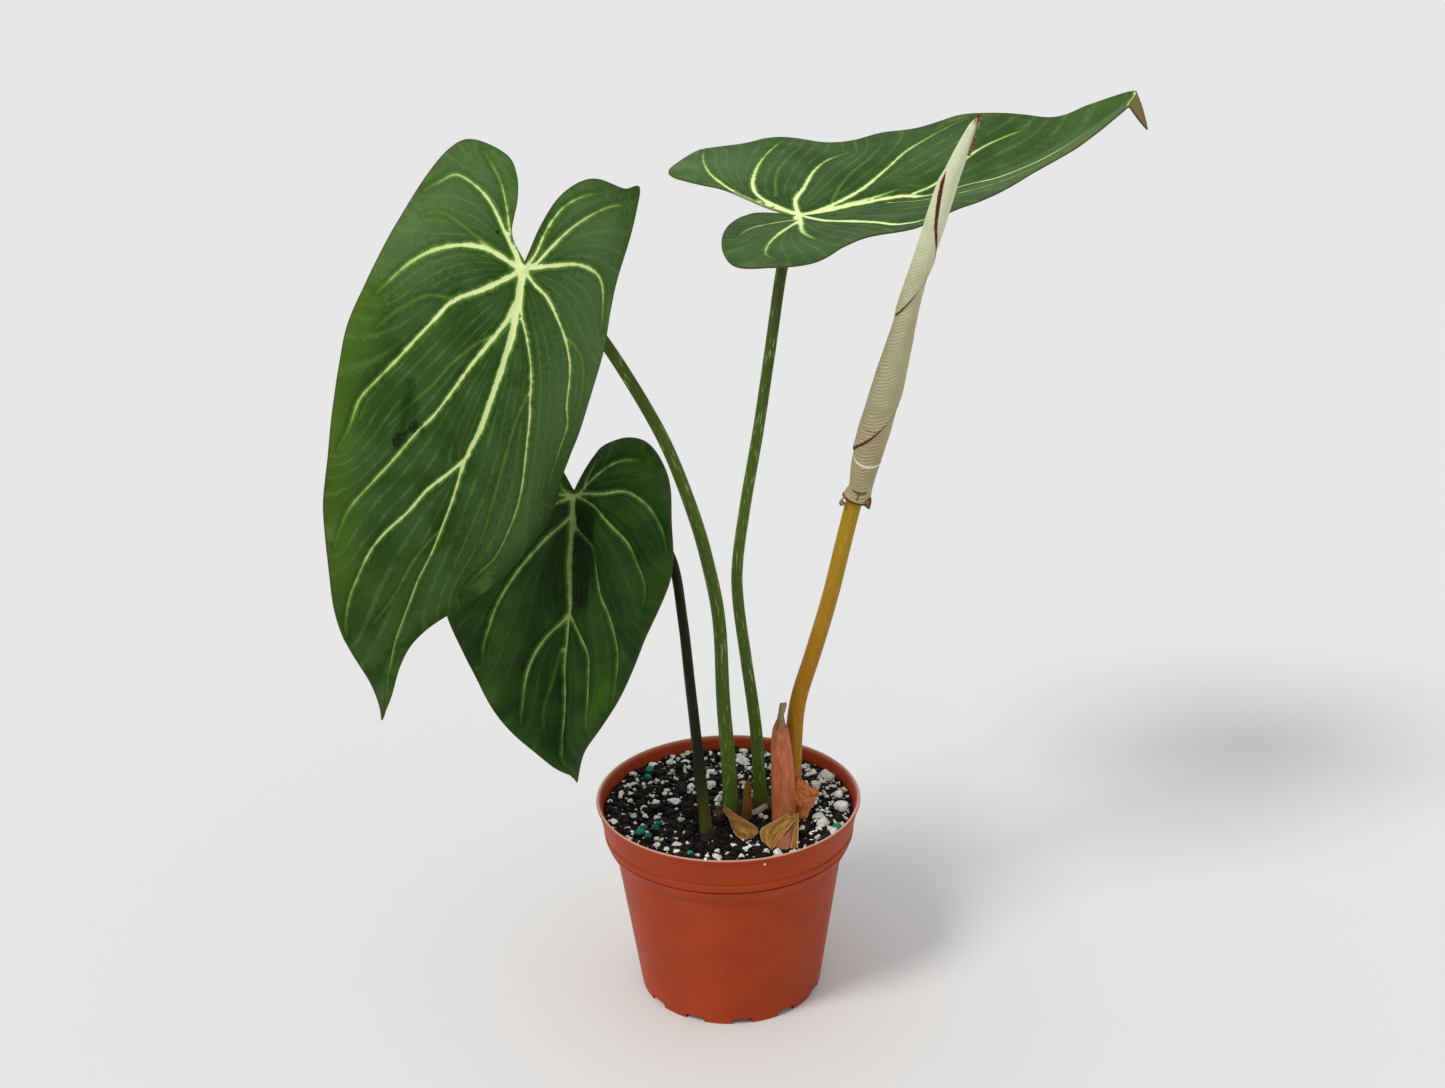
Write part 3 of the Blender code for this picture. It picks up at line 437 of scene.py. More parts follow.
@dataclass(frozen=True)
class RolledSkin(Finish):
    """The pale underside of the rolled new leaf, its fine veins and dry edges."""

    foot: Colour
    middle: Colour
    head: Colour
    vein: Colour
    dry: Colour
    scar: Colour
    crest: Colour

    def paint(self, kit: NodeKit) -> None:
        """Paint slanting fine veins, the brown edges along the seams and the dry tip.

        Args:
            kit: The finish's node kit.
        """
        flat = kit.vector("flat")
        along = kit.value("along")
        cloud = kit.noise(flat, 0.22, 3.0)
        fine = kit.noise(flat, 1.3, 3.0)
        drift = kit.add(along, kit.centred(cloud, 0.25))
        base = kit.mix(kit.band(drift, 0.12, 0.42), self.foot, self.middle)
        base = kit.mix(kit.band(drift, 0.45, 0.82), base, self.head)
        bend = kit.noise(flat, 0.1, 2.0)
        phase = kit.add(kit.times(kit.value("row"), TURN),
                        kit.add(kit.times(cloud, 4.0), kit.times(bend, 7.0)))
        sine = kit.math("SINE", phase)
        wave = kit.band(sine, 0.2, 1.0)
        clear = kit.span(kit.band(kit.noise(flat, 0.17, 2.0), 0.38, 0.62), 0.25, 1.0)
        trough = kit.times(kit.times(kit.band(sine, 0.3, -0.9), 0.36), clear)
        base = kit.tint(trough, base, (0.62, 0.64, 0.52))
        base = kit.mix(kit.times(kit.times(wave, kit.span(fine, 0.1, 0.8)), clear), base, self.vein)
        base = kit.tint(kit.span(fine, 0.0, 0.35), base, (0.55, 0.55, 0.45))
        mark = kit.value("mark")
        base = kit.mix(kit.band(mark, 0.2, 0.8), base, self.crest)
        base = kit.mix(kit.times(kit.band(mark, -0.15, -0.7), 0.9), base, self.scar)
        ragged = kit.centred(fine, 0.6)
        seam = kit.band(kit.add(kit.value("seam"), ragged), 0.22, -0.1)
        base = kit.mix(seam, base, self.dry)
        tip = kit.band(kit.add(along, kit.times(ragged, 0.04)), 0.968, 0.995)
        base = kit.mix(tip, base, self.dry)
        relief = kit.add(kit.times(wave, 0.8), kit.times(fine, 0.5))
        kit.finish(base, kit.span(fine, 0.52, 0.7), relief, 0.14, Specular_IOR_Level=0.15)


@dataclass(frozen=True)
class BractSkin(Finish):
    """Bract skin with fibres along it, from fresh and pink to dry and papery."""

    low: Colour
    high: Colour
    fibre: Colour
    edge: Colour
    tip: Colour
    tip_start: float
    roughness: float

    def paint(self, kit: NodeKit) -> None:
        """Paint fibres, blotches and the dry head.

        Args:
            kit: The finish's node kit.
        """
        flat = kit.vector("flat")
        along = kit.value("along")
        strands = kit.noise(kit.stretch(flat, (1.0, 0.05, 1.0)), 1.5, 3.0, 0.6)
        cloud = kit.noise(kit.stretch(flat, (1.0, 0.4, 1.0)), 0.3, 3.0, 0.6)
        base = kit.mix(kit.band(cloud, 0.3, 0.7), self.low, self.high)
        base = kit.mix(kit.times(kit.band(strands, 0.5, 0.68), 0.65), base, self.fibre)
        edge = kit.band(kit.add(kit.value("margin"), kit.times(cloud, 0.5)), 0.95, 0.35)
        base = kit.mix(kit.times(edge, 0.8), base, self.edge)
        dry = kit.band(kit.add(along, kit.centred(cloud, 0.2)),
                       self.tip_start, self.tip_start + 0.12)
        base = kit.mix(dry, base, self.tip)
        rough = kit.span(strands, self.roughness - 0.1, self.roughness + 0.12)
        kit.finish(base, rough, kit.add(strands, kit.times(cloud, 0.5)), 0.3, Specular_IOR_Level=0.2)


@dataclass(frozen=True)
class WaterDrop(Finish):
    """Water on a leaf: dark, because the leaf shows through, and very glossy."""

    colour: Colour
    light: Colour

    def paint(self, kit: NodeKit) -> None:
        """Darken the leaf's green, and break the surface a little.

        Args:
            kit: The finish's node kit.
        """
        spot = kit.place()
        ripple = kit.noise(spot, 0.9, 1.0)
        base = kit.mix(kit.band(ripple, 0.5, 0.62), self.colour, self.light)
        kit.finish(base, kit.span(ripple, 0.02, 0.06), ripple, 0.05, Specular_IOR_Level=0.12)


@dataclass(frozen=True)
class StudioFloor(Finish):
    """Plain pale floor."""

    colour: Colour

    def paint(self, kit: NodeKit) -> None:
        """Keep it plain, with the faintest cloud in it.

        Args:
            kit: The finish's node kit.
        """
        spot = kit.place()
        cloud = kit.noise(spot, 0.004, 2.0)
        base = kit.mix(kit.span(cloud, 0.0, 0.05), self.colour, (0.7, 0.7, 0.7))
        kit.finish(base, kit.span(cloud, 0.7, 0.8), cloud, 0.01, Specular_IOR_Level=0.2)


GREEN_LEAF = VelvetLeaf(
    "green_velvet_leaf", deep=screen(48, 80, 26), cool=screen(66, 98, 46), warm=screen(84, 118, 26),
    vein=screen(238, 252, 178), vein_end=screen(146, 190, 84), line=screen(112, 148, 76),
    underside=screen(118, 138, 70), under_vein=screen(176, 186, 116), edge=screen(78, 52, 44),
    # The last colour is the painted sheen.
    halo=screen(122, 164, 62), painted_sheen_and_shade=screen(96, 128, 74))
DARK_LEAF = VelvetLeaf(
    "dark_velvet_leaf", deep=screen(26, 50, 12), cool=screen(38, 66, 20), warm=screen(62, 104, 18),
    vein=screen(132, 154, 84), vein_end=screen(118, 150, 80), line=screen(56, 88, 36),
    underside=screen(104, 126, 66), under_vein=screen(160, 176, 106), edge=screen(74, 50, 40),
    # The last colour is the painted sheen.
    halo=screen(84, 114, 48), painted_sheen_and_shade=screen(62, 92, 32), feather=1.6)
GREEN_STALK = PetioleSkin(
    "green_petiole_skin", foot=screen(100, 124, 44), body=screen(84, 104, 34),
    head=screen(68, 80, 30), streak=screen(172, 184, 118), speckle=screen(48, 54, 20))
DARK_STALK = PetioleSkin(
    "dark_petiole_skin", foot=screen(96, 98, 42), body=screen(28, 28, 9),
    head=screen(22, 22, 8), streak=screen(66, 72, 32), speckle=screen(14, 14, 6), streaks=0.22)
YOUNG_STALK = PetioleSkin(
    "young_petiole_skin", foot=screen(190, 140, 68), body=screen(172, 120, 18),
    head=screen(174, 140, 32), streak=screen(196, 158, 78), speckle=screen(122, 78, 20), streaks=0.45)
# Its pale colour serves for scuffs, grain and the painted highlight along the lip.
PLASTIC = MouldedPot("moulded_terracotta", body=screen(164, 57, 13), shade=screen(152, 50, 9),
                     wear_and_painted_light=screen(226, 188, 166))
MIX = Crumb("potting_mix_ground", low=screen(6, 5, 6), high=screen(26, 21, 18), flecks=0.8,
            pit=screen(4, 3, 4), grain=0.9, depth=0.8, roughness=0.8)
PERLITE = Crumb("perlite_white", low=screen(210, 207, 194), high=screen(255, 255, 250),
                pit=screen(186, 178, 162), grain=0.9, depth=0.45, roughness=0.85, pits=0.3)
BARK = Crumb("composted_bark", low=screen(5, 4, 5), high=screen(38, 28, 23),
             pit=screen(4, 3, 3), grain=0.7, depth=0.4, roughness=0.62)
PELLET = Crumb("green_feed_pellet", low=screen(10, 92, 72), high=screen(40, 146, 114),
               pit=screen(8, 60, 50), grain=0.6, depth=0.2, roughness=0.45, pits=0.3)
RHIZOME = Crumb("rhizome_skin", low=screen(46, 34, 20), high=screen(112, 88, 48),
                pit=screen(28, 20, 13), grain=0.5, depth=0.5, roughness=0.78)
ROLLED = RolledSkin(
    "rolled_leaf_skin", foot=screen(170, 154, 118), middle=screen(180, 176, 136),
    head=screen(226, 232, 198), vein=screen(238, 232, 200), dry=screen(92, 48, 20),
    scar=screen(84, 78, 22), crest=screen(250, 236, 204))
PINK_BRACT = BractSkin(
    "pink_bract_skin", low=screen(174, 92, 54), high=screen(206, 122, 84), fibre=screen(146, 70, 40),
    edge=screen(98, 44, 18), tip=screen(110, 62, 34), tip_start=0.94, roughness=0.42)
DULL_PINK_BRACT = BractSkin(
    "dull_pink_bract_skin", low=screen(146, 84, 58), high=screen(170, 110, 82), fibre=screen(120, 66, 42),
    edge=screen(98, 52, 30), tip=screen(110, 62, 34), tip_start=0.94, roughness=0.5)
DRY_BRACT = BractSkin(
    "dry_bract_skin", low=screen(132, 90, 34), high=screen(186, 138, 66), fibre=screen(62, 38, 14),
    edge=screen(206, 164, 108), tip=screen(128, 84, 36), tip_start=0.97, roughness=0.7)
RED_BRACT = BractSkin(
    "red_dry_bract_skin", low=screen(190, 104, 44), high=screen(234, 152, 92), fibre=screen(158, 78, 34),
    edge=screen(222, 146, 108), tip=screen(208, 96, 84), tip_start=0.88, roughness=0.62)
BROWN_BRACT = BractSkin(
    "brown_dry_bract_skin", low=screen(108, 66, 24), high=screen(146, 96, 42),
    fibre=screen(60, 36, 14), edge=screen(160, 118, 66), tip=screen(120, 78, 32), tip_start=0.95,
    roughness=0.7)
BLACK_BRACT = BractSkin(
    "black_scale_skin", low=screen(26, 17, 13), high=screen(50, 33, 26), fibre=screen(14, 9, 7),
    edge=screen(70, 48, 38), tip=screen(26, 17, 13), tip_start=0.9, roughness=0.6)
PALE_FIBRE = BractSkin(
    "pale_fibre_skin", low=screen(168, 160, 136), high=screen(206, 200, 180),
    fibre=screen(116, 104, 80), edge=screen(188, 176, 146), tip=screen(150, 130, 100),
    tip_start=0.9, roughness=0.8)
GREY_TIP = BractSkin(
    "grey_dry_tip_skin", low=screen(132, 104, 74), high=screen(170, 144, 110),
    fibre=screen(92, 60, 36), edge=screen(98, 58, 30), tip=screen(150, 124, 92), tip_start=0.95,
    roughness=0.6)
WATER = WaterDrop("water_drop", colour=screen(16, 36, 8), light=screen(28, 56, 14))
FLOOR = StudioFloor("pale_studio_floor", colour=(0.76, 0.755, 0.745))


# Shared mesh work
def curve_at(knots: np.ndarray, share: np.ndarray) -> np.ndarray:
    """Read the smooth curve through knots.

    Args:
        knots: The points that the curve passes, along the first axis.
        share: Where it is read, from 0 to 1.

    Returns:
        The points, along the first axis.
    """
    last = len(knots) - 1
    spot = np.clip(share, 0.0, 1.0) * last
    i = np.minimum(spot.astype(int), last - 1)
    t = (spot - i).reshape(-1, *[1] * (knots.ndim - 1))
    before, start, end, after = (knots[np.clip(i + k, 0, last)] for k in (-1, 0, 1, 2))
    return 0.5 * (2 * start + (end - before) * t + (2 * before - 5 * start + 4 * end - after) * t ** 2
                  + (3 * start - before - 3 * end + after) * t ** 3)


def step_lengths(path: np.ndarray) -> np.ndarray:
    """Give the lengths between a path's neighbouring points."""
    return np.linalg.norm(np.diff(path, axis=0), axis=1)


def length_run(path: np.ndarray) -> np.ndarray:
    """Give the length that a path has run at each of its points."""
    return np.concatenate([[0.0], np.cumsum(step_lengths(path))])


def unit(vectors: np.ndarray) -> np.ndarray:
    """Give vectors a length of one."""
    return vectors / np.linalg.norm(vectors, axis=-1, keepdims=True)


def even_angles(count: int) -> np.ndarray:
    """Give even angles once round."""
    return np.arange(count) * TURN / count


def smooth_points(points: Sequence[Point], step: float) -> np.ndarray:
    """Read points at even steps from a smooth curve.

    Args:
        points: The points that the curve passes.
        step: The length between two points that are read.

    Returns:
        The points, with both ends kept.
    """
    knots = np.array(points, float)
    fine = curve_at(knots, np.linspace(0.0, 1.0, 12 * (len(knots) - 1) + 1))
    reach = length_run(fine)
    count = max(2, round(reach[-1] / step))
    marks = np.linspace(0.0, reach[-1], count + 1)
    return np.stack([np.interp(marks, reach, fine[:, k]) for k in range(knots.shape[1])], 1)


def evenly(values: Sequence[float], share: np.ndarray | float) -> np.ndarray:
    """Read an evenly spaced row of values at shares from 0 to 1."""
    return np.interp(share, np.linspace(0.0, 1.0, len(values)), values)


def nearest_on_line(points: np.ndarray, line: np.ndarray) -> tuple[np.ndarray, np.ndarray, np.ndarray]:
    """Measure from points to a line of straight runs.

    Args:
        points: Flat points, one a row.
        line: The line's own flat points.

    Returns:
        The distance, the share of the line's length at the nearest place, and which side
        of the line the point lies on, 1 for left and -1 for right.
    """
    start, run = line[:-1], np.diff(line, axis=0)
    size = (run ** 2).sum(1)
    away = points[:, None] - start[None]
    t = np.clip((away * run).sum(2) / size, 0.0, 1.0)
    left = away - t[..., None] * run
    gap = np.linalg.norm(left, axis=2)
    best = gap.argmin(1)
    rows = np.arange(len(points))
    lengths = np.sqrt(size)
    begun = np.concatenate([[0.0], np.cumsum(lengths)[:-1]])
    share = (begun[best] + t[rows, best] * lengths[best]) / lengths.sum()
    turn = run[best, 0] * away[rows, best, 1] - run[best, 1] * away[rows, best, 0]
    return gap[rows, best], share, np.where(turn >= 0, 1.0, -1.0)


def in_scene(name: str, data: bpy.types.ID) -> Piece:
    """Put a mesh, a light or a camera into the scene.

    Args:
        name: The object's name.
        data: The mesh, light or camera.

    Returns:
        The object that holds it.
    """
    item = bpy.data.objects.new(name, data)
    bpy.context.scene.collection.objects.link(item)
    return item


def carry(mesh: bpy.types.Mesh, key: str, values: np.ndarray) -> None:
    """Let a mesh's points carry values for its finish.

    Args:
        mesh: The mesh.
        key: The name by which the finish reads them.
        values: A number or a vector for each point.
    """
    kind, part = ("FLOAT_VECTOR", "vector") if values.ndim == 2 else ("FLOAT", "value")
    layer = mesh.attributes.new(key, kind, "POINT")
    layer.data.foreach_set(part, values.astype(np.float32).ravel())


def smooth_over(mesh: bpy.types.Mesh, crease: float) -> None:
    """Shade a mesh smoothly, apart from edges sharper than the crease in degrees."""
    mesh.shade_smooth()
    mesh.set_sharp_from_angle(angle=math.radians(crease))


def mesh_piece(name: str, points: np.ndarray, faces: Sequence[Sequence[int]], finish: Finish,
               layers: Layers | None = None, crease: float = 50.0) -> Piece:
    """Make a named object from points and faces.

    Args:
        name: The piece's name.
        points: Its points in millimetres.
        faces: Its faces, as point numbers.
        finish: Its finish.
        layers: Values that its points carry for the finish.
        crease: The angle in degrees from which an edge stays sharp.

    Returns:
        The object, in the scene.
    """
    mesh = bpy.data.meshes.new(name)
    mesh.from_pydata((points * MM).tolist(), [], [list(map(int, f)) for f in faces])
    for key, values in (layers or {}).items():
        carry(mesh, key, values)
    mesh.update()
    smooth_over(mesh, crease)
    mesh.materials.append(finish.material())
    return in_scene(name, mesh)


def dress(piece: Piece, slot: str, *nodes: str) -> None:
    """Settle a piece on the body and hide the nodes it stands for.

    Args:
        piece: The piece.
        slot: The record's material slot; not used.
        nodes: The names of the nodes it replaces.
    """
    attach(piece, BODY)
    if nodes:
        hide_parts(*nodes)
    LOG.info("%s: %d faces", piece.name, len(piece.data.polygons))


def grid_faces(rows: int, columns: int, wrap: bool) -> list[tuple[int, ...]]:
    """Join a grid of points by quads.

    Args:
        rows: How many rows it has.
        columns: How many points a row has.
        wrap: Whether a row's last point joins its first.

    Returns:
        The quads.
    """
    faces = []
    for a in range(0, (rows - 1) * columns, columns):
        b = a + columns
        for j in range(columns if wrap else columns - 1):
            n = (j + 1) % columns
            faces.append((a + j, a + n, b + n, b + j))
    return faces


def barrel_faces(rows: int, columns: int) -> list[tuple[int, ...]]:
    """Join a grid that wraps round by quads, and close its two ends."""
    ends = [tuple(reversed(range(columns))), tuple(range((rows - 1) * columns, rows * columns))]
    return grid_faces(rows, columns, True) + ends


def grid_normals(grid: np.ndarray) -> np.ndarray:
    """Give the unit normals of a grid of points, in the grid's own shape."""
    normal = np.cross(np.gradient(grid, axis=1), np.gradient(grid, axis=0))
    return normal / np.maximum(np.linalg.norm(normal, axis=2, keepdims=True), 1e-9)


def thin_shell(grid: np.ndarray, thickness: float) -> tuple[np.ndarray, list]:
    """Thicken a grid inwards and close its rims.

    Args:
        grid: Outer points as rows, columns and three parts.
        thickness: The shell's thickness.

    Returns:
        The points, outer ones first, and the faces.
    """
    rows, columns = grid.shape[:2]
    inner = grid - grid_normals(grid) * thickness
    count = rows * columns
    last = count - columns
    faces = grid_faces(rows, columns, False)
    faces += [tuple(count + i for i in f[::-1]) for f in faces]
    rim = []
    for j in range(columns - 1):
        rim += [(j + 1, j), (last + j, last + j + 1)]
    for i in range(0, last, columns):
        rim += [(i, i + columns), (i + 2 * columns - 1, i + columns - 1)]
    faces += [(a, b, count + b, count + a) for a, b in rim]
    return np.concatenate([grid.reshape(-1, 3), inner.reshape(-1, 3)]), faces


def path_frames(path: np.ndarray) -> tuple[np.ndarray, np.ndarray]:
    """Carry a frame along a path without letting it spin.

    Args:
        path: The path's points.

    Returns:
        The sides and the fronts, one a point, with the first front to the viewer.
    """
    front = np.array(TO_VIEWER)
    sides, fronts = [], []
    for t in unit(np.gradient(path, axis=0)):
        front = unit(front - t * (front @ t))
        sides.append(np.cross(t, front))
        fronts.append(front)
    return np.array(sides), np.array(fronts)


def tube(path: np.ndarray, radius: np.ndarray, sides: int) -> Shape:
    """Sweep a round section along a path and close both ends.

    Args:
        path: The centre line.
        radius: The radius for each path point and side, as a grid.
        sides: How many points go round.

    Returns:
        The points, the faces and the layers "flat" and "along".
    """
    side, front = path_frames(path)
    angle = even_angles(sides)
    ring = side[:, None] * np.cos(angle)[None, :, None] - front[:, None] * np.sin(angle)[None, :, None]
    points = (path[:, None] + ring * radius[..., None]).reshape(-1, 3)
    length = length_run(path)
    flat = np.stack([radius * np.cos(angle), radius * np.sin(angle),
                     np.repeat(length[:, None], sides, 1)], 2)
    along = np.repeat(length / length[-1], sides)
    return points, barrel_faces(len(path), sides), {"flat": flat.reshape(-1, 3), "along": along}


def soft_noise(points: np.ndarray, scale: float, seed: float = 0.0) -> np.ndarray:
    """Read smooth noise from about -1 to 1 at points, with the scale in cells a millimetre."""
    shift = Vector((seed, seed * 0.7, seed * 1.3))
    return np.array([noise.noise(Vector(p) * scale + shift) for p in points])


# Pot
@dataclass
class NurseryPot:
    """The moulded pot: a turned wall with a lip, a collar and a notched foot."""

    height: float = 83.0
    rim_radius: float = 52.5
    lip_height: float = 1.8
    lip_proud: float = 1.0
    wall: float = 1.25
    bead_top_drop: float = 12.4
    bead_bottom_drop: float = 16.0
    groove_depth: float = 0.3
    low_groove_depth: float = 0.65
    band_bottom_drop: float = 17.2
    band_proud: float = 0.3
    collar_foot_radius: float = 48.9
    shoulder_drop: float = 22.6
    shoulder_radius: float = 45.2
    foot_radius: float = 36.6
    foot_width: float = 2.2
    gutter_height: float = 2.6
    floor: float = 1.6
    pad_radius: float = 20.2
    notch_count: int = 12
    notch_width: float = 8.0
    notch_turn: float = 6.0
    drain_count: int = 6
    drain_radius: float = 3.5
    steps: int = 240
    round_over: float = 0.4
    crease: float = 38.0

    def inside(self) -> list[Flat]:
        """Give the pot's inner wall.

        Returns:
            Points as (radius, height), from the floor up.
        """
        top = self.height
        return [(self.foot_radius - self.wall, self.floor + self.gutter_height),
                (self.shoulder_radius - self.wall, top - self.shoulder_drop + 0.2),
                (self.shoulder_radius + 1.3, top - self.shoulder_drop + 3.2),
                (self.collar_foot_radius - self.wall, top - self.band_bottom_drop + 0.4),
                (self.rim_radius - self.lip_proud - self.wall, top - self.lip_height)]

    def inner_radius(self, height: float) -> float:
        """Give the radius of the inside at a height."""
        wall = self.inside()
        return float(np.interp(height, [z for _, z in wall], [r for r, _ in wall]))

    def section(self) -> list[Flat]:
        """Give the half section: inner floor, inside, lip, outside and underside.

        Returns:
            Points as (radius, height), from the middle of the floor round to the middle
            of the underside.
        """
        top = self.height
        outside = self.rim_radius - self.lip_proud
        slope = (self.collar_foot_radius - outside) / self.band_bottom_drop
        foot_inside = self.foot_radius - self.foot_width
        floor = [(0, self.floor), (self.pad_radius - 1.2, self.floor),
                 (self.pad_radius + 1.2, self.floor + self.gutter_height)]
        lip = [(outside, top), (self.rim_radius - 0.3, top - 0.15), (self.rim_radius, top - 0.9),
               (outside + 0.1, top - self.lip_height)]
        collar = []
        for drop, proud in ((self.bead_top_drop - 0.5, 0.0), (self.bead_top_drop, -self.groove_depth),
                            (self.bead_top_drop + 0.5, self.band_proud),
                            (self.bead_bottom_drop - 0.5, self.band_proud),
                            (self.bead_bottom_drop, -self.low_groove_depth),
                            (self.bead_bottom_drop + 0.5, 0.0)):
            collar.append((outside + slope * drop + proud, top - drop))
        shoulder = [(self.collar_foot_radius - 0.4, top - self.band_bottom_drop - 0.6),
                    (self.collar_foot_radius - 1.6, top - 20.2),
                    (self.shoulder_radius, top - self.shoulder_drop)]
        foot = [(self.foot_radius, 1.0), (self.foot_radius - 0.25, 0), (foot_inside, 0),
                (foot_inside - 0.5, self.gutter_height), (self.pad_radius + 1.4, self.gutter_height),
                (self.pad_radius, 0), (0, 0)]
        return floor + self.inside() + lip + collar + shoulder + foot

    def rounded_section(self) -> np.ndarray:
        """Round every corner of the section.

        Returns:
            Points as (radius, height).
        """
        points = np.array(self.section(), float)
        out = [points[0]]
        for before, corner, after in zip(points[:-2], points[1:-1], points[2:]):
            back, ahead = before - corner, after - corner
            reach = min(self.round_over, np.linalg.norm(back) * 0.45, np.linalg.norm(ahead) * 0.45)
            start, end = corner + unit(back) * reach, corner + unit(ahead) * reach
            for t in (0.0, 0.5, 1.0):
                out.append((1 - t) ** 2 * start + 2 * t * (1 - t) * corner + t ** 2 * end)
        out.append(points[-1])
        return np.array(out)

    def openings(self) -> Piece:
        """Make one tool for all foot notches and drain holes.

        Returns:
            The tool.
        """
        shape = bmesh.new()
        for i in range(self.notch_count):
            angle = -math.pi / 2 + math.radians(self.notch_turn) + TURN * i / self.notch_count
            size = Matrix.Diagonal((self.foot_width * 3, self.notch_width, self.gutter_height * 1.8, 1))
            move = Matrix.Translation((self.foot_radius - self.foot_width / 2, 0, 0))
            whole = Matrix.Scale(MM, 4) @ Matrix.Rotation(angle, 4, "Z") @ move @ size
            bmesh.ops.create_cube(shape, size=1.0, matrix=whole)
        middle = (self.pad_radius + self.foot_radius) / 2
        for i in range(self.drain_count):
            turn = Matrix.Rotation(TURN * (i + 0.5) / self.drain_count, 4, "Z")
            whole = Matrix.Scale(MM, 4) @ turn @ Matrix.Translation((middle, 0, 4))
            bmesh.ops.create_cone(shape, cap_ends=True, segments=32, depth=6,
                                  radius1=self.drain_radius, radius2=self.drain_radius, matrix=whole)
        mesh = bpy.data.meshes.new("foot_openings")
        shape.to_mesh(mesh)
        shape.free()
        return in_scene("foot_openings", mesh)

    def build(self) -> None:
        """Turn the wall, cut the openings and dress the pot."""
        section = self.rounded_section()
        angle = even_angles(self.steps)
        ring = np.stack([np.cos(angle), np.sin(angle)], 1)
        inner = section[1:-1]
        heights = np.repeat(inner[:, None, 1:], self.steps, 1)
        grid = np.concatenate([inner[:, None, :1] * ring[None], heights], 2)
        points = np.concatenate([grid.reshape(-1, 3), [[0, 0, section[0, 1]], [0, 0, section[-1, 1]]]])
        rows = len(inner)
        faces = [f[::-1] for f in grid_faces(rows, self.steps, True)]
        last = (rows - 1) * self.steps
        for j in range(self.steps):
            n = (j + 1) % self.steps
            faces.append((rows * self.steps, j, n))
            faces.append((rows * self.steps + 1, last + n, last + j))
        pot = mesh_piece("nursery_pot", points, faces, PLASTIC)
        tool = self.openings()
        cut = pot.modifiers.new("openings", "BOOLEAN")
        cut.object = tool
        cut.solver = "EXACT"
        bpy.context.view_layer.update()
        shape = pot.evaluated_get(bpy.context.evaluated_depsgraph_get())
        mesh = bpy.data.meshes.new_from_object(shape)
        pot.modifiers.clear()
        pot.data = mesh
        bpy.data.objects.remove(tool)
        self.mark_wear_and_painted_light(mesh)
        smooth_over(mesh, self.crease)
        dress(pot, "terracotta_plastic", "pot")

    def mark_wear_and_painted_light(self, mesh: bpy.types.Mesh) -> None:
        """Mark a painted highlight along the lip and wear on the foot's edge, and painted shadow lines in the
        grooves as the opposite.

        Args:
            mesh: The pot's mesh.
        """
        spots = np.zeros(len(mesh.vertices) * 3)
        mesh.vertices.foreach_get("co", spots)
        height = spots[2::3] / MM
        # A painted highlight along the lip, and wear on the foot's edge.
        wear_and_painted_light = 0.95 * np.exp(-((height - self.height) / 0.35) ** 2) + 0.2 * np.exp(-(height / 0.6) ** 2)
        outside = np.hypot(spots[::3], spots[1::3]) / MM > self.collar_foot_radius - 0.8
        # Painted shadow lines under the bead's two small steps, the lower one darker.
        for drop, painted_groove_shade in ((self.bead_top_drop, 0.25), (self.bead_bottom_drop, 0.95)):
            wear_and_painted_light -= painted_groove_shade * outside * np.exp(-((height - self.height + drop) / 0.3) ** 2)
        carry(mesh, "wear_and_painted_light", wear_and_painted_light)


# Potting mix
class Lump(Enum):
    """What a loose lump on the mix is."""

    PERLITE = "perlite_lumps"
    CRUMB = "bark_crumbs"
    PELLET = "feed_pellets"


LUMP_RISE = {Lump.CRUMB: 0.05, Lump.PERLITE: 0.3, Lump.PELLET: 0.55}


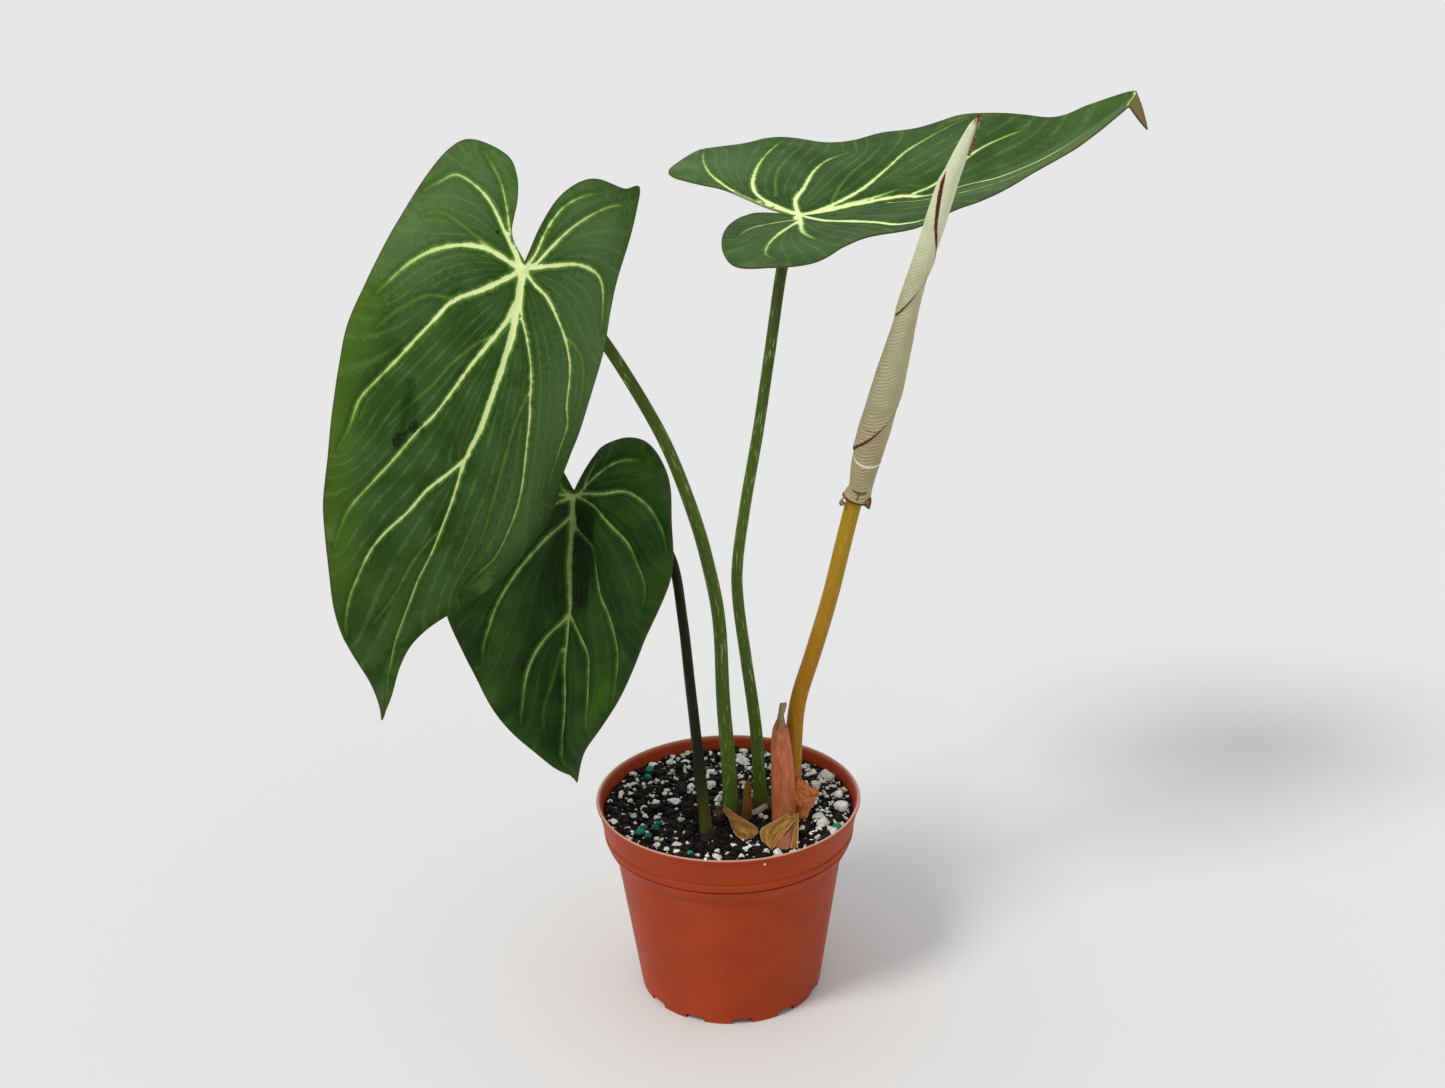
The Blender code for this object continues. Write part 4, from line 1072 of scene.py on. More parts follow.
@dataclass
class PottingMix:
    """The mix that fills the pot: lumpy ground, perlite, bark crumbs and pellets."""

    pot: NurseryPot
    keep_out: list[Point]
    level_spots: list[Point]
    level: float = SOIL_LEVEL
    bank: float = 1.2
    relief: float = 1.1
    step: float = 0.85
    seed: int = 11
    loose_perlite: int = 1250
    loose_crumbs: int = 1700
    columns: int = 360
    crease: float = 45.0
    specks: tuple[tuple[float, float, float, float], ...] = (
        (-99.9, 51.9, 83.0, 0.8), (-75.5, 52.3, 80.2, 0.45), (-94.0, 51.4, 83.0, 0.35),
        (-62.0, 51.4, 83.0, 0.3), (-150.0, 51.3, 83.0, 0.35), (40.0, 51.5, 83.0, 0.4))
    big_perlite: tuple[Point, ...] = (
        (-31.0, 34.4, 1.9), (-24.0, 36.8, 1.5), (-17.7, 36.6, 1.9), (-39.0, 26.8, 1.3),
        (-6.9, 27.3, 1.9), (-7.3, 17.8, 2.2), (-4.1, 6.2, 2.1), (-15.5, 15.5, 1.9),
        (7.4, 46.3, 1.9), (6.0, 37.4, 2.6), (-21.8, 4.0, 1.9), (-29.4, 5.1, 1.5),
        (-43.2, 9.8, 1.3), (-45.0, -13.0, 1.5), (-27.7, -31.4, 1.5), (-23.8, -34.6, 1.3),
        (-20.4, -30.2, 2.2), (-4.7, -41.2, 1.9), (1.8, -31.7, 1.5), (5.6, -35.6, 1.3),
        (7.9, -31.9, 1.1), (13.9, -36.7, 1.7), (18.0, -39.0, 2.2), (24.6, -37.0, 1.5),
        (41.0, 22.6, 3.1), (35.6, 13.6, 2.8), (44.3, 6.4, 2.6), (44.4, -3.5, 2.8),
        (37.1, -17.5, 2.8), (35.4, -10.5, 2.4), (39.9, -22.3, 1.9), (33.2, 0.3, 1.8),
        (4.4, 41.1, 1.5), (8.8, 31.1, 1.5), (12.6, -7.4, 1.3), (-33.2, -2.2, 1.5))
    pellets: tuple[Flat, ...] = (
        (-34.5, -21.4), (-31.3, -23.9), (-28.7, -18.5), (-27.3, -15.4), (-33.0, -17.6),
        (-32.8, 24.6), (-32.1, 29.0), (-8.6, 29.8), (-14.9, -38.9), (42.0, -20.3))

    def height_at(self, x: float, y: float) -> float:
        """Give the ground's height: lumpy, banked to the wall, level under the bracts.

        Args:
            x: Place to the right of the pot's middle.
            y: Place behind the pot's middle.

        Returns:
            The height above the pot's base.
        """
        lumps = noise.noise(Vector((x * 0.16, y * 0.16, 3.1)))
        lumps += 0.6 * noise.noise(Vector((x * 0.4, y * 0.4, 8.7)))
        rise = self.bank * (math.hypot(x, y) / self.pot.rim_radius) ** 2 + self.relief * lumps
        for seat_x, seat_y, radius in self.level_spots:
            away = math.hypot(x - seat_x, y - seat_y) - radius
            rise *= min(max(away / 3.0, 0.2), 1.0)
        return self.level + rise

    def build_ground(self) -> None:
        """Make the crumbly ground and the plug under it."""
        outer = self.pot.inner_radius(self.level + 1) - 0.25
        rings, columns, plug = int(outer / self.step), self.columns, self.plug()
        angle = even_angles(columns)
        points = [(radius * math.cos(a), radius * math.sin(a), height) for radius, height in plug
                  for a in angle]
        for k in range(rings):
            radius = outer * (1 - k / rings)
            for a in angle:
                x, y = radius * math.cos(a), radius * math.sin(a)
                crumb = noise.noise(Vector((x * 1.1, y * 1.1, 2.0)))
                crumb += 0.5 * noise.noise(Vector((x * 2.3, y * 2.3, 5.0)))
                points.append((x, y, self.height_at(x, y) + 0.55 * crumb - 0.25))
        points.append((0, 0, self.height_at(0, 0)))
        grid = np.array(points)
        middle = len(grid) - 1
        last = middle - columns
        faces = grid_faces(rings + len(plug), columns, True)
        faces.append(tuple(reversed(range(columns))))
        faces.extend((last + j, last + (j + 1) % columns, middle) for j in range(columns))
        tone = 0.35 + 0.35 * soft_noise(grid, 0.35, 4.0)
        ground = mesh_piece("potting_mix", grid, faces, MIX, {"tone": tone}, ROUND_CREASE)
        dress(ground, "potting_mix", "soil")

    def plug(self) -> list[Flat]:
        """Give the plug below the ground.

        Returns:
            Points as (radius, height), from the bottom up.
        """
        pot = self.pot
        low = pot.floor + pot.gutter_height + 0.3
        edge = self.level - 4.0
        heights = [low, pot.height - pot.shoulder_drop + 0.2, pot.height - pot.shoulder_drop + 3.2,
                   pot.height - pot.band_bottom_drop + 0.4, edge]
        rings = [(pot.pad_radius - 2.0, pot.floor + 0.3), (pot.pad_radius + 0.6, low)]
        return rings + [(pot.inner_radius(z) - 0.3, z) for z in heights]

    def free(self, x: float, y: float, size: float) -> bool:
        """Say whether a lump clears the stems and bracts."""
        return all(math.hypot(x - a, y - b) > r + size for a, b, r in self.keep_out)

    def scatter(self, kind: Lump, draw: random.Random) -> list[tuple[Point, Point]]:
        """Choose places and sizes for one kind of lump.

        Args:
            kind: The kind of lump.
            draw: The seeded source of chance.

        Returns:
            The place and the three radii of each lump.
        """
        reach = self.pot.inner_radius(self.level) - 1.0
        chosen = []
        if kind is Lump.PERLITE:
            for x, y, size in self.big_perlite:
                chosen.append((x, y, size * draw.uniform(0.95, 1.15)))
        if kind is Lump.PELLET:
            chosen = [(x, y, draw.uniform(1.3, 1.8)) for x, y in self.pellets]
        wanted = {Lump.PERLITE: self.loose_perlite, Lump.CRUMB: self.loose_crumbs, Lump.PELLET: 0}[kind]
        while len(chosen) < wanted:
            angle = draw.uniform(0, TURN)
            radius = math.sqrt(draw.random()) * reach
            x, y = radius * math.cos(angle), radius * math.sin(angle)
            if kind is Lump.PERLITE:
                share = 0.3 + 0.7 * (x > 24) + 0.35 * (y > 10) - 0.18 * (math.hypot(x + 8, y + 18) < 14)
                size = 0.28 + 1.2 * draw.random() ** 3.0
                if draw.random() > share:
                    continue
            else:
                size = 0.5 + 1.5 * draw.random() ** 2.2
            if self.free(x, y, size) and radius + size < reach + 0.8:
                chosen.append((x, y, size))
        lumps = []
        for x, y, size in chosen:
            flatness = draw.uniform(0.55, 0.85) if kind is Lump.CRUMB else draw.uniform(0.65, 0.95)
            stretch = draw.uniform(0.75, 1.9) if kind is Lump.CRUMB else draw.uniform(0.8, 1.45)
            place = (x, y, self.height_at(x, y) + size * LUMP_RISE[kind])
            lumps.append((place, (size * stretch, size, size * flatness)))
        return lumps

    def build_lumps(self, kind: Lump, finish: Finish) -> None:
        """Make all lumps of one kind as one piece.

        Args:
            kind: The kind of lump.
            finish: Its finish.
        """
        draw = random.Random(self.seed + len(kind.value))
        facets = 0 if kind is Lump.PELLET else LUMP_FACETS
        shapes = []
        for place, radii in self.scatter(kind, draw):
            base, triangles = ball(3 if max(radii) > 1.5 else 2)
            shape = chipped(base, facets, draw) * np.array(radii)
            spin = Matrix.Rotation(draw.uniform(0, TURN), 3, "Z")
            spin = spin @ Matrix.Rotation(draw.uniform(-0.5, 0.5), 3, "X")
            shapes.append(toned(shape @ np.array(spin).T + np.array(place), triangles, draw))
        dress(mesh_piece(kind.value, *joined(shapes, finish), self.crease), "potting_mix")

    def build_rim_specks(self) -> None:
        """Lay the few crumbs that have spilled onto the pot's lip."""
        draw = random.Random(self.seed)
        base, triangles = ball(3)
        shapes = []
        for angle, radius, height, size in self.specks:
            turn = math.radians(angle)
            place = np.array((radius * math.cos(turn), radius * math.sin(turn), height + size * 0.5))
            shapes.append(toned(chipped(base, LUMP_FACETS, draw) * size + place, triangles, draw))
        dress(mesh_piece("rim_specks", *joined(shapes, PERLITE), self.crease), "potting_mix")


def toned(points: np.ndarray, triangles: np.ndarray, draw: random.Random) -> Shape:
    """Give one lump a tone of its own."""
    return points, triangles.tolist(), {"tone": np.full(len(points), draw.random())}


def chipped(base: np.ndarray, facets: int, draw: random.Random) -> np.ndarray:
    """Chip flats off a ball and roughen what is left.

    Args:
        base: The ball's points.
        facets: How many flats are chipped off.
        draw: The seeded source of chance.

    Returns:
        The lump's points.
    """
    shape = base.copy()
    for _ in range(facets):
        axis = unit(np.array([draw.gauss(0, 1) for _ in range(3)]))
        over = np.maximum(shape @ axis - draw.uniform(0.5, 0.85), 0)
        shape = shape - over[:, None] * axis
    shift = draw.uniform(0, 90)
    dents = soft_noise(base, 1.6, shift) + 0.5 * soft_noise(base, 4.0, shift + 7)
    return shape * (1 + 0.16 * dents[:, None])


@cache
def ball(fineness: int) -> tuple[np.ndarray, np.ndarray]:
    """Give an even ball of triangles with a radius of one.

    Args:
        fineness: How often its first twenty triangles are split, counted from 1.

    Returns:
        Its points and its triangles.
    """
    shape = bmesh.new()
    bmesh.ops.create_icosphere(shape, subdivisions=fineness, radius=1.0)
    shape.verts.ensure_lookup_table()
    points = np.array([v.co for v in shape.verts])
    faces = np.array([[v.index for v in f.verts] for f in shape.faces])
    shape.free()
    return points, faces


# Stems
@dataclass
class Rhizome:
    """The creeping stem, half sunk in the mix, from which the stalks rise."""

    path: tuple[Point, ...] = (
        (-7, -4.5, 72.6), (-3, -3.6, 73.2), (1.2, -2.5, 73.4), (7, 0.6, 73.3), (12.8, 3, 73.3),
        (19, 1, 73.2), (25, -2, 73.1), (30, -3.3, 72.8), (33.6, -4.2, 72.6))
    radii: tuple[float, ...] = (4.4, 6.0, 6.5, 5.8, 6.4, 5.8, 6.8, 5.9, 4.8)
    ring_length: float = 3.4
    sides: int = 48

    def build(self) -> None:
        """Make the knobbly stem with its leaf scars."""
        path = smooth_points(self.path, 0.5)
        share = np.linspace(0, 1, len(path))
        length = share * step_lengths(path).sum()
        ridge = 0.3 * np.exp(-((length % self.ring_length - 0.6) / 0.4) ** 2)
        taper = np.sqrt(np.clip(1 - (2 * share - 1) ** 16, 0.02, 1))
        radius = (evenly(self.radii, share) * taper + ridge)[:, None] * np.ones(self.sides)
        points, faces, layers = tube(path, radius, self.sides)
        bumps = soft_noise(points, 0.45, 6.0)
        points = points + np.array([0, 0, 0.35]) * bumps[:, None]
        layers["tone"] = 0.45 + 0.4 * soft_noise(points, 0.3, 2.0)
        piece = mesh_piece("rhizome_stem", points, faces, RHIZOME, layers)
        dress(piece, "rhizome_bark", "rhizome")


@dataclass
class Petiole:
    """A leaf stalk along its own centre line."""

    name: str
    node: str
    slot: str
    finish: Finish
    path: tuple[Point, ...]
    radii: tuple[float, ...]
    head_swell: float = 0.3
    foot_swell: float = 0.35
    sides: int = 28

    def build(self) -> None:
        """Sweep the stalk, a little ribbed, with a swollen foot and head."""
        path = smooth_points(self.path, 1.6)
        share = np.linspace(0, 1, len(path))
        length = share * step_lengths(path).sum()
        size = evenly(self.radii, share)
        size += self.head_swell * np.exp(-((length[-1] - length) / 5.0) ** 2)
        size += self.foot_swell * np.exp(-((length - 6) / 5.0) ** 2)
        angle = even_angles(self.sides)
        ribs = 0.035 * np.cos(5 * angle[None] + 1.5 * share[:, None] * TURN)
        groove = -0.10 * np.exp(-((angle[None] - 1.2) / 0.35) ** 2)
        radius = size[:, None] * (1 + ribs + groove)
        points, faces, layers = tube(path, radius, self.sides)
        piece = mesh_piece(self.name, points, faces, self.finish, layers)
        dress(piece, self.slot, self.node)


# Blades
@dataclass(frozen=True)
class Vein:
    """One pale vein: its flat points, and its width and brightness at even steps.

    The rank counts the main veins outwards from the midrib and is below zero where u is.
    A minor vein has none.
    """

    widths: tuple[float, ...]
    points: tuple[Flat, ...]
    rank: float | None = None
    glow: tuple[float, ...] = (1.0, 0.9, 0.76, 0.58, 0.38)


def minor(*points: Flat) -> Vein:
    """Give a faint minor vein through flat points."""
    return Vein((0.45, 0.4, 0.3), points, None, (0.3, 0.3, 0.12))


@dataclass(frozen=True)
class Spot:
    """A soft round patch on a blade, or a long one if it has an end."""

    at: Flat
    radius: float
    strength: float
    end: Flat | None = None

    def weight(self, flat: np.ndarray) -> np.ndarray:
        """Give the patch's strength at flat points."""
        line = np.array([self.at, self.end or (self.at[0], self.at[1] + 0.01)], float)
        return self.strength * np.exp(-(nearest_on_line(flat, line)[0] / self.radius) ** 2)


@dataclass
class LeafBlade:
    """A heart-shaped blade: its flat outline and veins, and the way it hangs.

    Flat points are (u, v): v runs along the midrib from the stalk's joint to the tip, u
    across it. Angles are in degrees, and bends in degrees for 100 mm.
    """

    name: str
    node: str
    slot: str
    finish: Finish
    joint: Point
    heading: float
    droop: float
    roll: float
    bend: float
    lobe_bend: float
    fold: Flat
    lobe_fold: float
    curl: Flat
    twist: float
    length: float
    half_width: float
    sway: tuple[float, float, float, float]
    plus_side: tuple[Flat, ...]
    minus_side: tuple[Flat, ...]
    veins: tuple[Vein, ...]
    # Yellower, lighter patches, partly the leaf's own colour and partly painted glow of light through the
    # blade.
    yellowing_and_glow_spots: tuple[Spot, ...] = ()
    wet_spots: tuple[Spot, ...] = ()
    # Patches of painted sheen; a patch with a strength below zero is painted shadow.
    painted_sheen_and_shade_spots: tuple[Spot, ...] = ()
    tip_fold: float = 0.0
    tip_fold_from: float = 999.0
    tip_fold_reach: float = 1.2
    tip_slant: float = 0.0
    hollow: Spot | None = None
    quilting: float = 0.5
    sink: float = 0.4
    corrugation: float = 0.08
    step: float = 1.1
    lamina: float = 0.8
    rib: float = 1.0
    wave_height: float = 1.1
    wave_length: float = 36.0
    hub_reach: float = 9.0
    margin_reach: float = 8.0
    underside_shift: float = 40.0
    axes: tuple[np.ndarray, np.ndarray, np.ndarray] = field(init=False)

    def __post_init__(self) -> None:
        """Work out the blade's own three directions."""
        heading, droop, roll = (math.radians(a) for a in (self.heading, self.droop, self.roll))
        along = np.array([math.cos(droop) * math.cos(heading), math.cos(droop) * math.sin(heading),
                          -math.sin(droop)])
        level = np.array([math.sin(heading), -math.cos(heading), 0.0])
        across = math.cos(roll) * level + math.sin(roll) * np.cross(level, along)
        self.axes = (across, along, np.cross(across, along))

    def bend_at(self, v: np.ndarray) -> np.ndarray:
        """Give the angle by which the midrib has bent down at v."""
        return np.radians(np.where(v > 0, self.bend, self.lobe_bend)) * v / 100

    def sway_at(self, share: np.ndarray) -> np.ndarray:
        """Give the midrib's sideways wander along the blade.

        Args:
            share: Place along the blade, 1 at the tip.

        Returns:
            The wander in millimetres.
        """
        stations = np.array([-0.5, 0.0, 0.15, 0.35, 0.6, 0.82, 1.0, 1.6])
        drifts = np.array([0.0, 0.0, *self.sway, 0.0, 0.0])
        i = np.clip(np.searchsorted(stations, share) - 1, 0, len(stations) - 2)
        t = np.clip((share - stations[i]) / (stations[i + 1] - stations[i]), 0, 1)
        return drifts[i] + (drifts[i + 1] - drifts[i]) * t * t * (3 - 2 * t)

    def hang(self, flat: np.ndarray) -> np.ndarray:
        """Bend flat points into space, but leave the tip unfolded.

        Args:
            flat: Flat points, one a row.

        Returns:
            Their places on the blade's upper face.
        """
        u, v = flat[:, 0], flat[:, 1]
        share = v / self.length
        fold = self.fold[0] + (self.fold[1] - self.fold[0]) * np.clip(share, 0, 1)
        fold = np.radians(fold + self.lobe_fold * np.clip(-4 * share, 0, 1.2))
        curl = np.radians(np.where(u > 0, self.curl[0], self.curl[1])) / self.half_width
        turned = fold + curl * abs(u)
        side = (np.sin(turned) - np.sin(fold)) / curl * np.sign(u) + self.sway_at(share)
        lift = (np.cos(fold) - np.cos(turned)) / curl
        twist = math.radians(self.twist) * np.maximum(v, -60) / 100
        x = side * np.cos(twist) - lift * np.sin(twist)
        lift = side * np.sin(twist) + lift * np.cos(twist)
        marks = np.arange(-100, 260, 0.5)
        angle = self.bend_at(marks)
        middle = (angle[1:] + angle[:-1]) / 2
        y = np.concatenate([[0], np.cumsum(np.cos(middle) * 0.5)])
        z = np.concatenate([[0], np.cumsum(-np.sin(middle) * 0.5)])
        zero = int(np.argmin(abs(marks)))
        here = self.bend_at(v)
        y = np.interp(v, marks, y - y[zero]) + lift * np.sin(here)
        z = np.interp(v, marks, z - z[zero]) + lift * np.cos(here)
        across, along, up = self.axes
        return np.array(self.joint) + x[:, None] * across + y[:, None] * along + z[:, None] * up

    def past_crease(self, flat: np.ndarray) -> np.ndarray:
        """Give how far flat points lie beyond the crease of the folded tip."""
        past = flat[:, 1] + self.tip_slant * flat[:, 0] - self.tip_fold_from
        return np.maximum(past / math.hypot(self.tip_slant, 1.0), 0.0)

    def place(self, flat: np.ndarray) -> np.ndarray:
        """Bend flat points into space and fold the tip down along its crease.

        Args:
            flat: Flat points, one a row.

        Returns:
            Their places on the blade's upper face.
        """
        past = self.past_crease(flat)
        if not past.any():
            return self.hang(flat)
        ahead = np.array([self.tip_slant, 1.0]) / math.hypot(self.tip_slant, 1.0)
        foot = flat - past[:, None] * ahead
        onward = self.hang(foot + 0.3 * ahead) - self.hang(foot - 0.3 * ahead)
        sideways = self.hang(foot + (0.3, 0)) - self.hang(foot - (0.3, 0))
        onward, down = unit(onward), unit(np.cross(onward, sideways))
        full = math.radians(self.tip_fold)
        radius = self.tip_fold_reach / max(full, 1e-6)
        turned = full * np.minimum(past / self.tip_fold_reach, 1.0)
        rest = np.maximum(past - self.tip_fold_reach, 0.0)
        forth = radius * np.sin(turned) + rest * math.cos(full)
        drop = radius * (1 - np.cos(turned)) + rest * math.sin(full)
        return self.hang(foot) + forth[:, None] * onward + drop[:, None] * down

    def normals(self, flat: np.ndarray) -> np.ndarray:
        """Give the upward normals of the blade's upper face.

        Args:
            flat: Flat points, one a row.

        Returns:
            The normal at each point.
        """
        du = self.place(flat + (0.5, 0)) - self.place(flat - (0.5, 0))
        dv = self.place(flat + (0, 0.5)) - self.place(flat - (0, 0.5))
        return unit(np.cross(du, dv))

    def outline(self) -> np.ndarray:
        """Give the closed flat outline, counter-clockwise from the notch."""
        plus, minus = (smooth_points(side, self.step) for side in (self.plus_side, self.minus_side))
        return np.concatenate([plus, minus[-2:0:-1]])

    def vein_lines(self, closed: np.ndarray) -> list[np.ndarray]:
        """Read points along the veins, clear of the outline and of each other.

        Args:
            closed: The outline, with its first point again at its end.

        Returns:
            The points along each vein.
        """
        lines = []
        for vein in self.veins:
            line = smooth_points(vein.points, self.step * 0.8)
            line = line[nearest_on_line(line, closed)[0] > self.step * 0.6]
            if lines:
                others = np.min([nearest_on_line(line, other)[0] for other in lines], axis=0)
                line = line[others > self.step * 0.5]
            if len(line) > 1:
                lines.append(line)
        return lines

    def split(self, outline: np.ndarray) -> tuple[np.ndarray, np.ndarray]:
        """Fill the outline with triangles whose points follow the veins.

        Args:
            outline: The closed flat outline.

        Returns:
            The flat points, the outline's own first, and the triangles.
        """
        closed = np.concatenate([outline, outline[:1]])
        edges = [(i, (i + 1) % len(outline)) for i in range(len(outline))]
        lines = self.vein_lines(closed)
        rows = int(2.4 * self.length / self.step)
        row, column = np.mgrid[-rows:rows, -rows:rows]
        grid = np.stack([(column + 0.5 * (row % 2)) * self.step, row * self.step * TRIANGLE_ROW], 2)
        grid = grid.reshape(-1, 2)
        low, high = outline.min(0), outline.max(0)
        grid = grid[((grid > low) & (grid < high)).all(1)]
        grid = grid[inside_outline(grid, outline)]
        near = np.min([nearest_on_line(grid, line)[0] for line in lines + [closed]], axis=0)
        every = [Vector(p) for p in np.concatenate([outline, *lines, grid[near > self.step * 0.55]])]
        found = delaunay_2d_cdt(every, edges, [], 1, JOINING_REACH)
        flat = np.array(found[0])
        order = {group[0]: i for i, group in enumerate(found[3]) if group}
        first = [order[i] for i in range(len(outline))]
        rest = sorted(set(range(len(flat))) - set(first))
        rank = np.empty(len(flat), int)
        rank[first + rest] = np.arange(len(flat))
        return flat[first + rest], rank[np.array([list(f) for f in found[2] if len(f) == 3])]

    def vein_fields(self, flat: np.ndarray, triangles: np.ndarray) -> Layers:
        """Measure every point against the veins.

        Args:
            flat: Flat points, one a row.
            triangles: The triangles that join them.

        Returns:
            The layers "vein", the distance from a vein's brim, "near", the place along and
            beside the nearest vein and its brightness, "rank", the place between the main
            veins, "bare", the distance from a main vein's middle, and "rib", its share.
        """
        count = len(flat)
        brim, bare, near = np.full(count, 1e3), np.full(count, 1e3), np.zeros((count, 3))
        rib, rank = np.zeros(count), np.zeros(count)
        for vein in self.veins:
            line = smooth_points(vein.points, 1.5)
            gap, share, _ = nearest_on_line(flat, line)
            half = evenly(vein.widths, share) / 2 - 0.5 * np.clip(share / 0.15 - 5.67, 0, 1) ** 2
            length = step_lengths(line).sum()
            closer = gap - half < brim
            brim = np.where(closer, gap - half, brim)
            here = np.column_stack([share * length, gap, evenly(vein.glow, share)])
            near = np.where(closer[:, None], here, near)
            if vein.rank is not None:
                rank = np.where(gap < bare, vein.rank, rank)
                bare = np.minimum(bare, gap)
                size = np.clip(half / 1.3, 0.15, 1)
                rib = np.maximum(rib, np.exp(-(gap / (half + 0.8)) ** 2) * size)
        return {"vein": brim, "near": near, "bare": bare, "rib": rib,
                "rank": self.even_out(rank, bare < self.step * 0.55, triangles)}

    @staticmethod
    def even_out(values: np.ndarray, fixed: np.ndarray, triangles: np.ndarray) -> np.ndarray:
        """Let values settle evenly between the points where they are fixed.

        Args:
            values: One value a point.
            fixed: True where the value stays.
            triangles: The triangles that join the points.

        Returns:
            The settled values.
        """
        first = triangles[:, [0, 1, 2, 1, 2, 0]].ravel()
        second = triangles[:, [1, 2, 0, 0, 1, 2]].ravel()
        count = np.maximum(np.bincount(first, minlength=len(values)), 1)
        for _ in range(SETTLING_ROUNDS):
            mean = np.bincount(first, weights=values[second], minlength=len(values)) / count
            values = np.where(fixed, values, mean)
        return values

    def relief(self, flat: np.ndarray, fields: Layers, inner: np.ndarray, hub: np.ndarray) -> np.ndarray:
        """Give the upper face's relief: waved margin, quilting, pleats and sunken veins.

        Args:
            flat: Flat points, one a row.
            fields: What vein_fields has measured there.
            inner: 0 at the margin, 1 well inside it.
            hub: The distance from the stalk's joint.

        Returns:
            The height above the bent blade.
        """
        edge = np.minimum(abs(flat[:, 0]) / self.half_width, 1.0)
        wave = self.wave_height * edge ** 3 * np.sin(TURN * flat[:, 1] / self.wave_length)
        swell = self.quilting * (1 - np.exp(-(fields["bare"] / 6.0) ** 2)) * inner
        pleat = self.corrugation * np.sin(TURN * 3 * fields["rank"]) * np.clip(fields["bare"] / 4, 0, 1)
        ripple = 0.22 * soft_noise(np.column_stack([flat, flat[:, :1] * 0]), 0.09, 3.0)
        lift = wave + swell + ripple + pleat * inner - self.sink * np.exp(-(fields["bare"] / 1.5) ** 2)
        lift = lift + 0.7 * np.exp(-(hub / 1.6) ** 4)
        return lift - self.hollow.weight(flat) * inner if self.hollow else lift

    def layers(self, flat: np.ndarray, fields: Layers, margin: np.ndarray) -> Layers:
        """Gather the values that the finish reads, the upper face's first.

        Args:
            flat: Flat points, one a row.
            fields: What vein_fields has measured there.
            margin: The distance from the margin.

        Returns:
            The layers of both faces.
        """
        layers = {"vein": fields["vein"], "near": fields["near"], "rank": fields["rank"],
                  "margin": margin, "dry": np.clip(self.past_crease(flat) / 1.2, 0, 1),
                  # Yellower patches with partly painted glow, wet spots, and patches of painted sheen and
                  # painted shadow.
                  "yellowing_and_glow": self.total(self.yellowing_and_glow_spots, flat), "wet": self.total(self.wet_spots, flat),
                  "painted_sheen_and_shade": self.total(self.painted_sheen_and_shade_spots, flat)}
        layers = {key: np.concatenate([value, value]) for key, value in layers.items()}
        count = len(flat)
        layers["upper"] = np.repeat([1.0, 0.0], count)
        layers["flat"] = np.concatenate([np.column_stack([flat, np.full(count, depth)])
                                         for depth in (0.0, self.underside_shift)])
        return layers

    def build(self) -> None:
        """Make the blade with sunken veins above, ribs below and a waved margin."""
        outline = self.outline()
        flat, triangles = self.split(outline)
        fields = self.vein_fields(flat, triangles)
        margin = nearest_on_line(flat, np.concatenate([outline, outline[:1]]))[0]
        hub = np.linalg.norm(flat, axis=1)
        lift = self.relief(flat, fields, np.clip(margin / self.margin_reach, 0, 1), hub)
        thick = self.lamina + self.rib * np.maximum(fields["rib"], 1 - hub / self.hub_reach)
        thick = thick * np.clip(0.7 + 0.3 * margin / 1.5, 0.7, 1.0)
        normal = self.normals(flat)
        top = self.place(flat) + normal * lift[:, None]
        points = np.concatenate([top, top - normal * thick[:, None]])
        count, ring = len(flat), len(outline)
        faces = triangles.tolist() + (triangles[:, ::-1] + count).tolist()
        faces += [(i + count, (i + 1) % ring + count, (i + 1) % ring, i) for i in range(ring)]
        layers = self.layers(flat, fields, margin)
        piece = mesh_piece(self.name, points, faces, self.finish, layers, SHEET_CREASE)
        dress(piece, self.slot, self.node)

    @staticmethod
    def total(spots: Sequence[Spot], flat: np.ndarray) -> np.ndarray:
        """Add up the strengths of spots at flat points, from -1 to 1."""
        weights = [spot.weight(flat) for spot in spots]
        return np.clip(np.sum(weights, axis=0), -1.0, 1.0) if weights else np.zeros(len(flat))


def inside_outline(points: np.ndarray, outline: np.ndarray) -> np.ndarray:
    """Say which flat points lie inside a closed outline.

    Args:
        points: Flat points, one a row.
        outline: The outline's points.

    Returns:
        True for each point inside.
    """
    odd = np.zeros(len(points), bool)
    for a, b in zip(outline, np.roll(outline, -1, 0)):
        crosses = (a[1] > points[:, 1]) != (b[1] > points[:, 1])
        if a[1] != b[1]:
            at = a[0] + (b[0] - a[0]) * (points[:, 1] - a[1]) / (b[1] - a[1])
            odd ^= crosses & (points[:, 0] < at)
    return odd


@dataclass
class Droplets:
    """Water drops that lie on a blade, as (u, v, length, width)."""

    blade: LeafBlade
    drops: tuple[tuple[float, float, float, float], ...] = (
        (29.2, 68.9, 2.4, 1.7), (24.9, 63.3, 2.1, 1.3), (12.6, -8.7, 0.7, 0.6), (27.2, 66.0, 0.8, 0.7))

    def build(self) -> None:
        """Make the drops as flattened balls on the blade's upper face."""
        base, triangles = ball(4)
        shapes = []
        along = self.blade.axes[1]
        for u, v, length, width in self.drops:
            flat = np.array([[u, v]])
            normal = self.blade.normals(flat)[0]
            run = unit(along - normal * (along @ normal))
            side = np.cross(run, normal)
            centre = self.blade.place(flat)[0] + normal * (self.blade.quilting * 0.8)
            body = base * np.array([width, length, width * 0.42])
            shape = body[:, :1] * side + body[:, 1:2] * run + body[:, 2:] * normal
            shapes.append((centre + shape, triangles.tolist(), {}))
        dress(mesh_piece("water_drops", *joined(shapes, WATER), ROUND_CREASE), self.blade.slot)


# Rolled new leaf
@dataclass(frozen=True)
class Seam:
    """An edge that shows on the rolled leaf: (share of length, degrees from the front).

    The layer on the left of its line lies on top. A crease has no brown edge.
    """

    points: tuple[Flat, ...]
    widths: tuple[float, ...]
    step: float
    crease: bool = False


@dataclass(frozen=True)
class Scrap:
    """A curled dry scrap on the rolled leaf: its line, width, turn, face and paleness."""

    line: tuple[Point, ...]
    width: float
    turn: float
    face: Point
    pale: float = 0.04


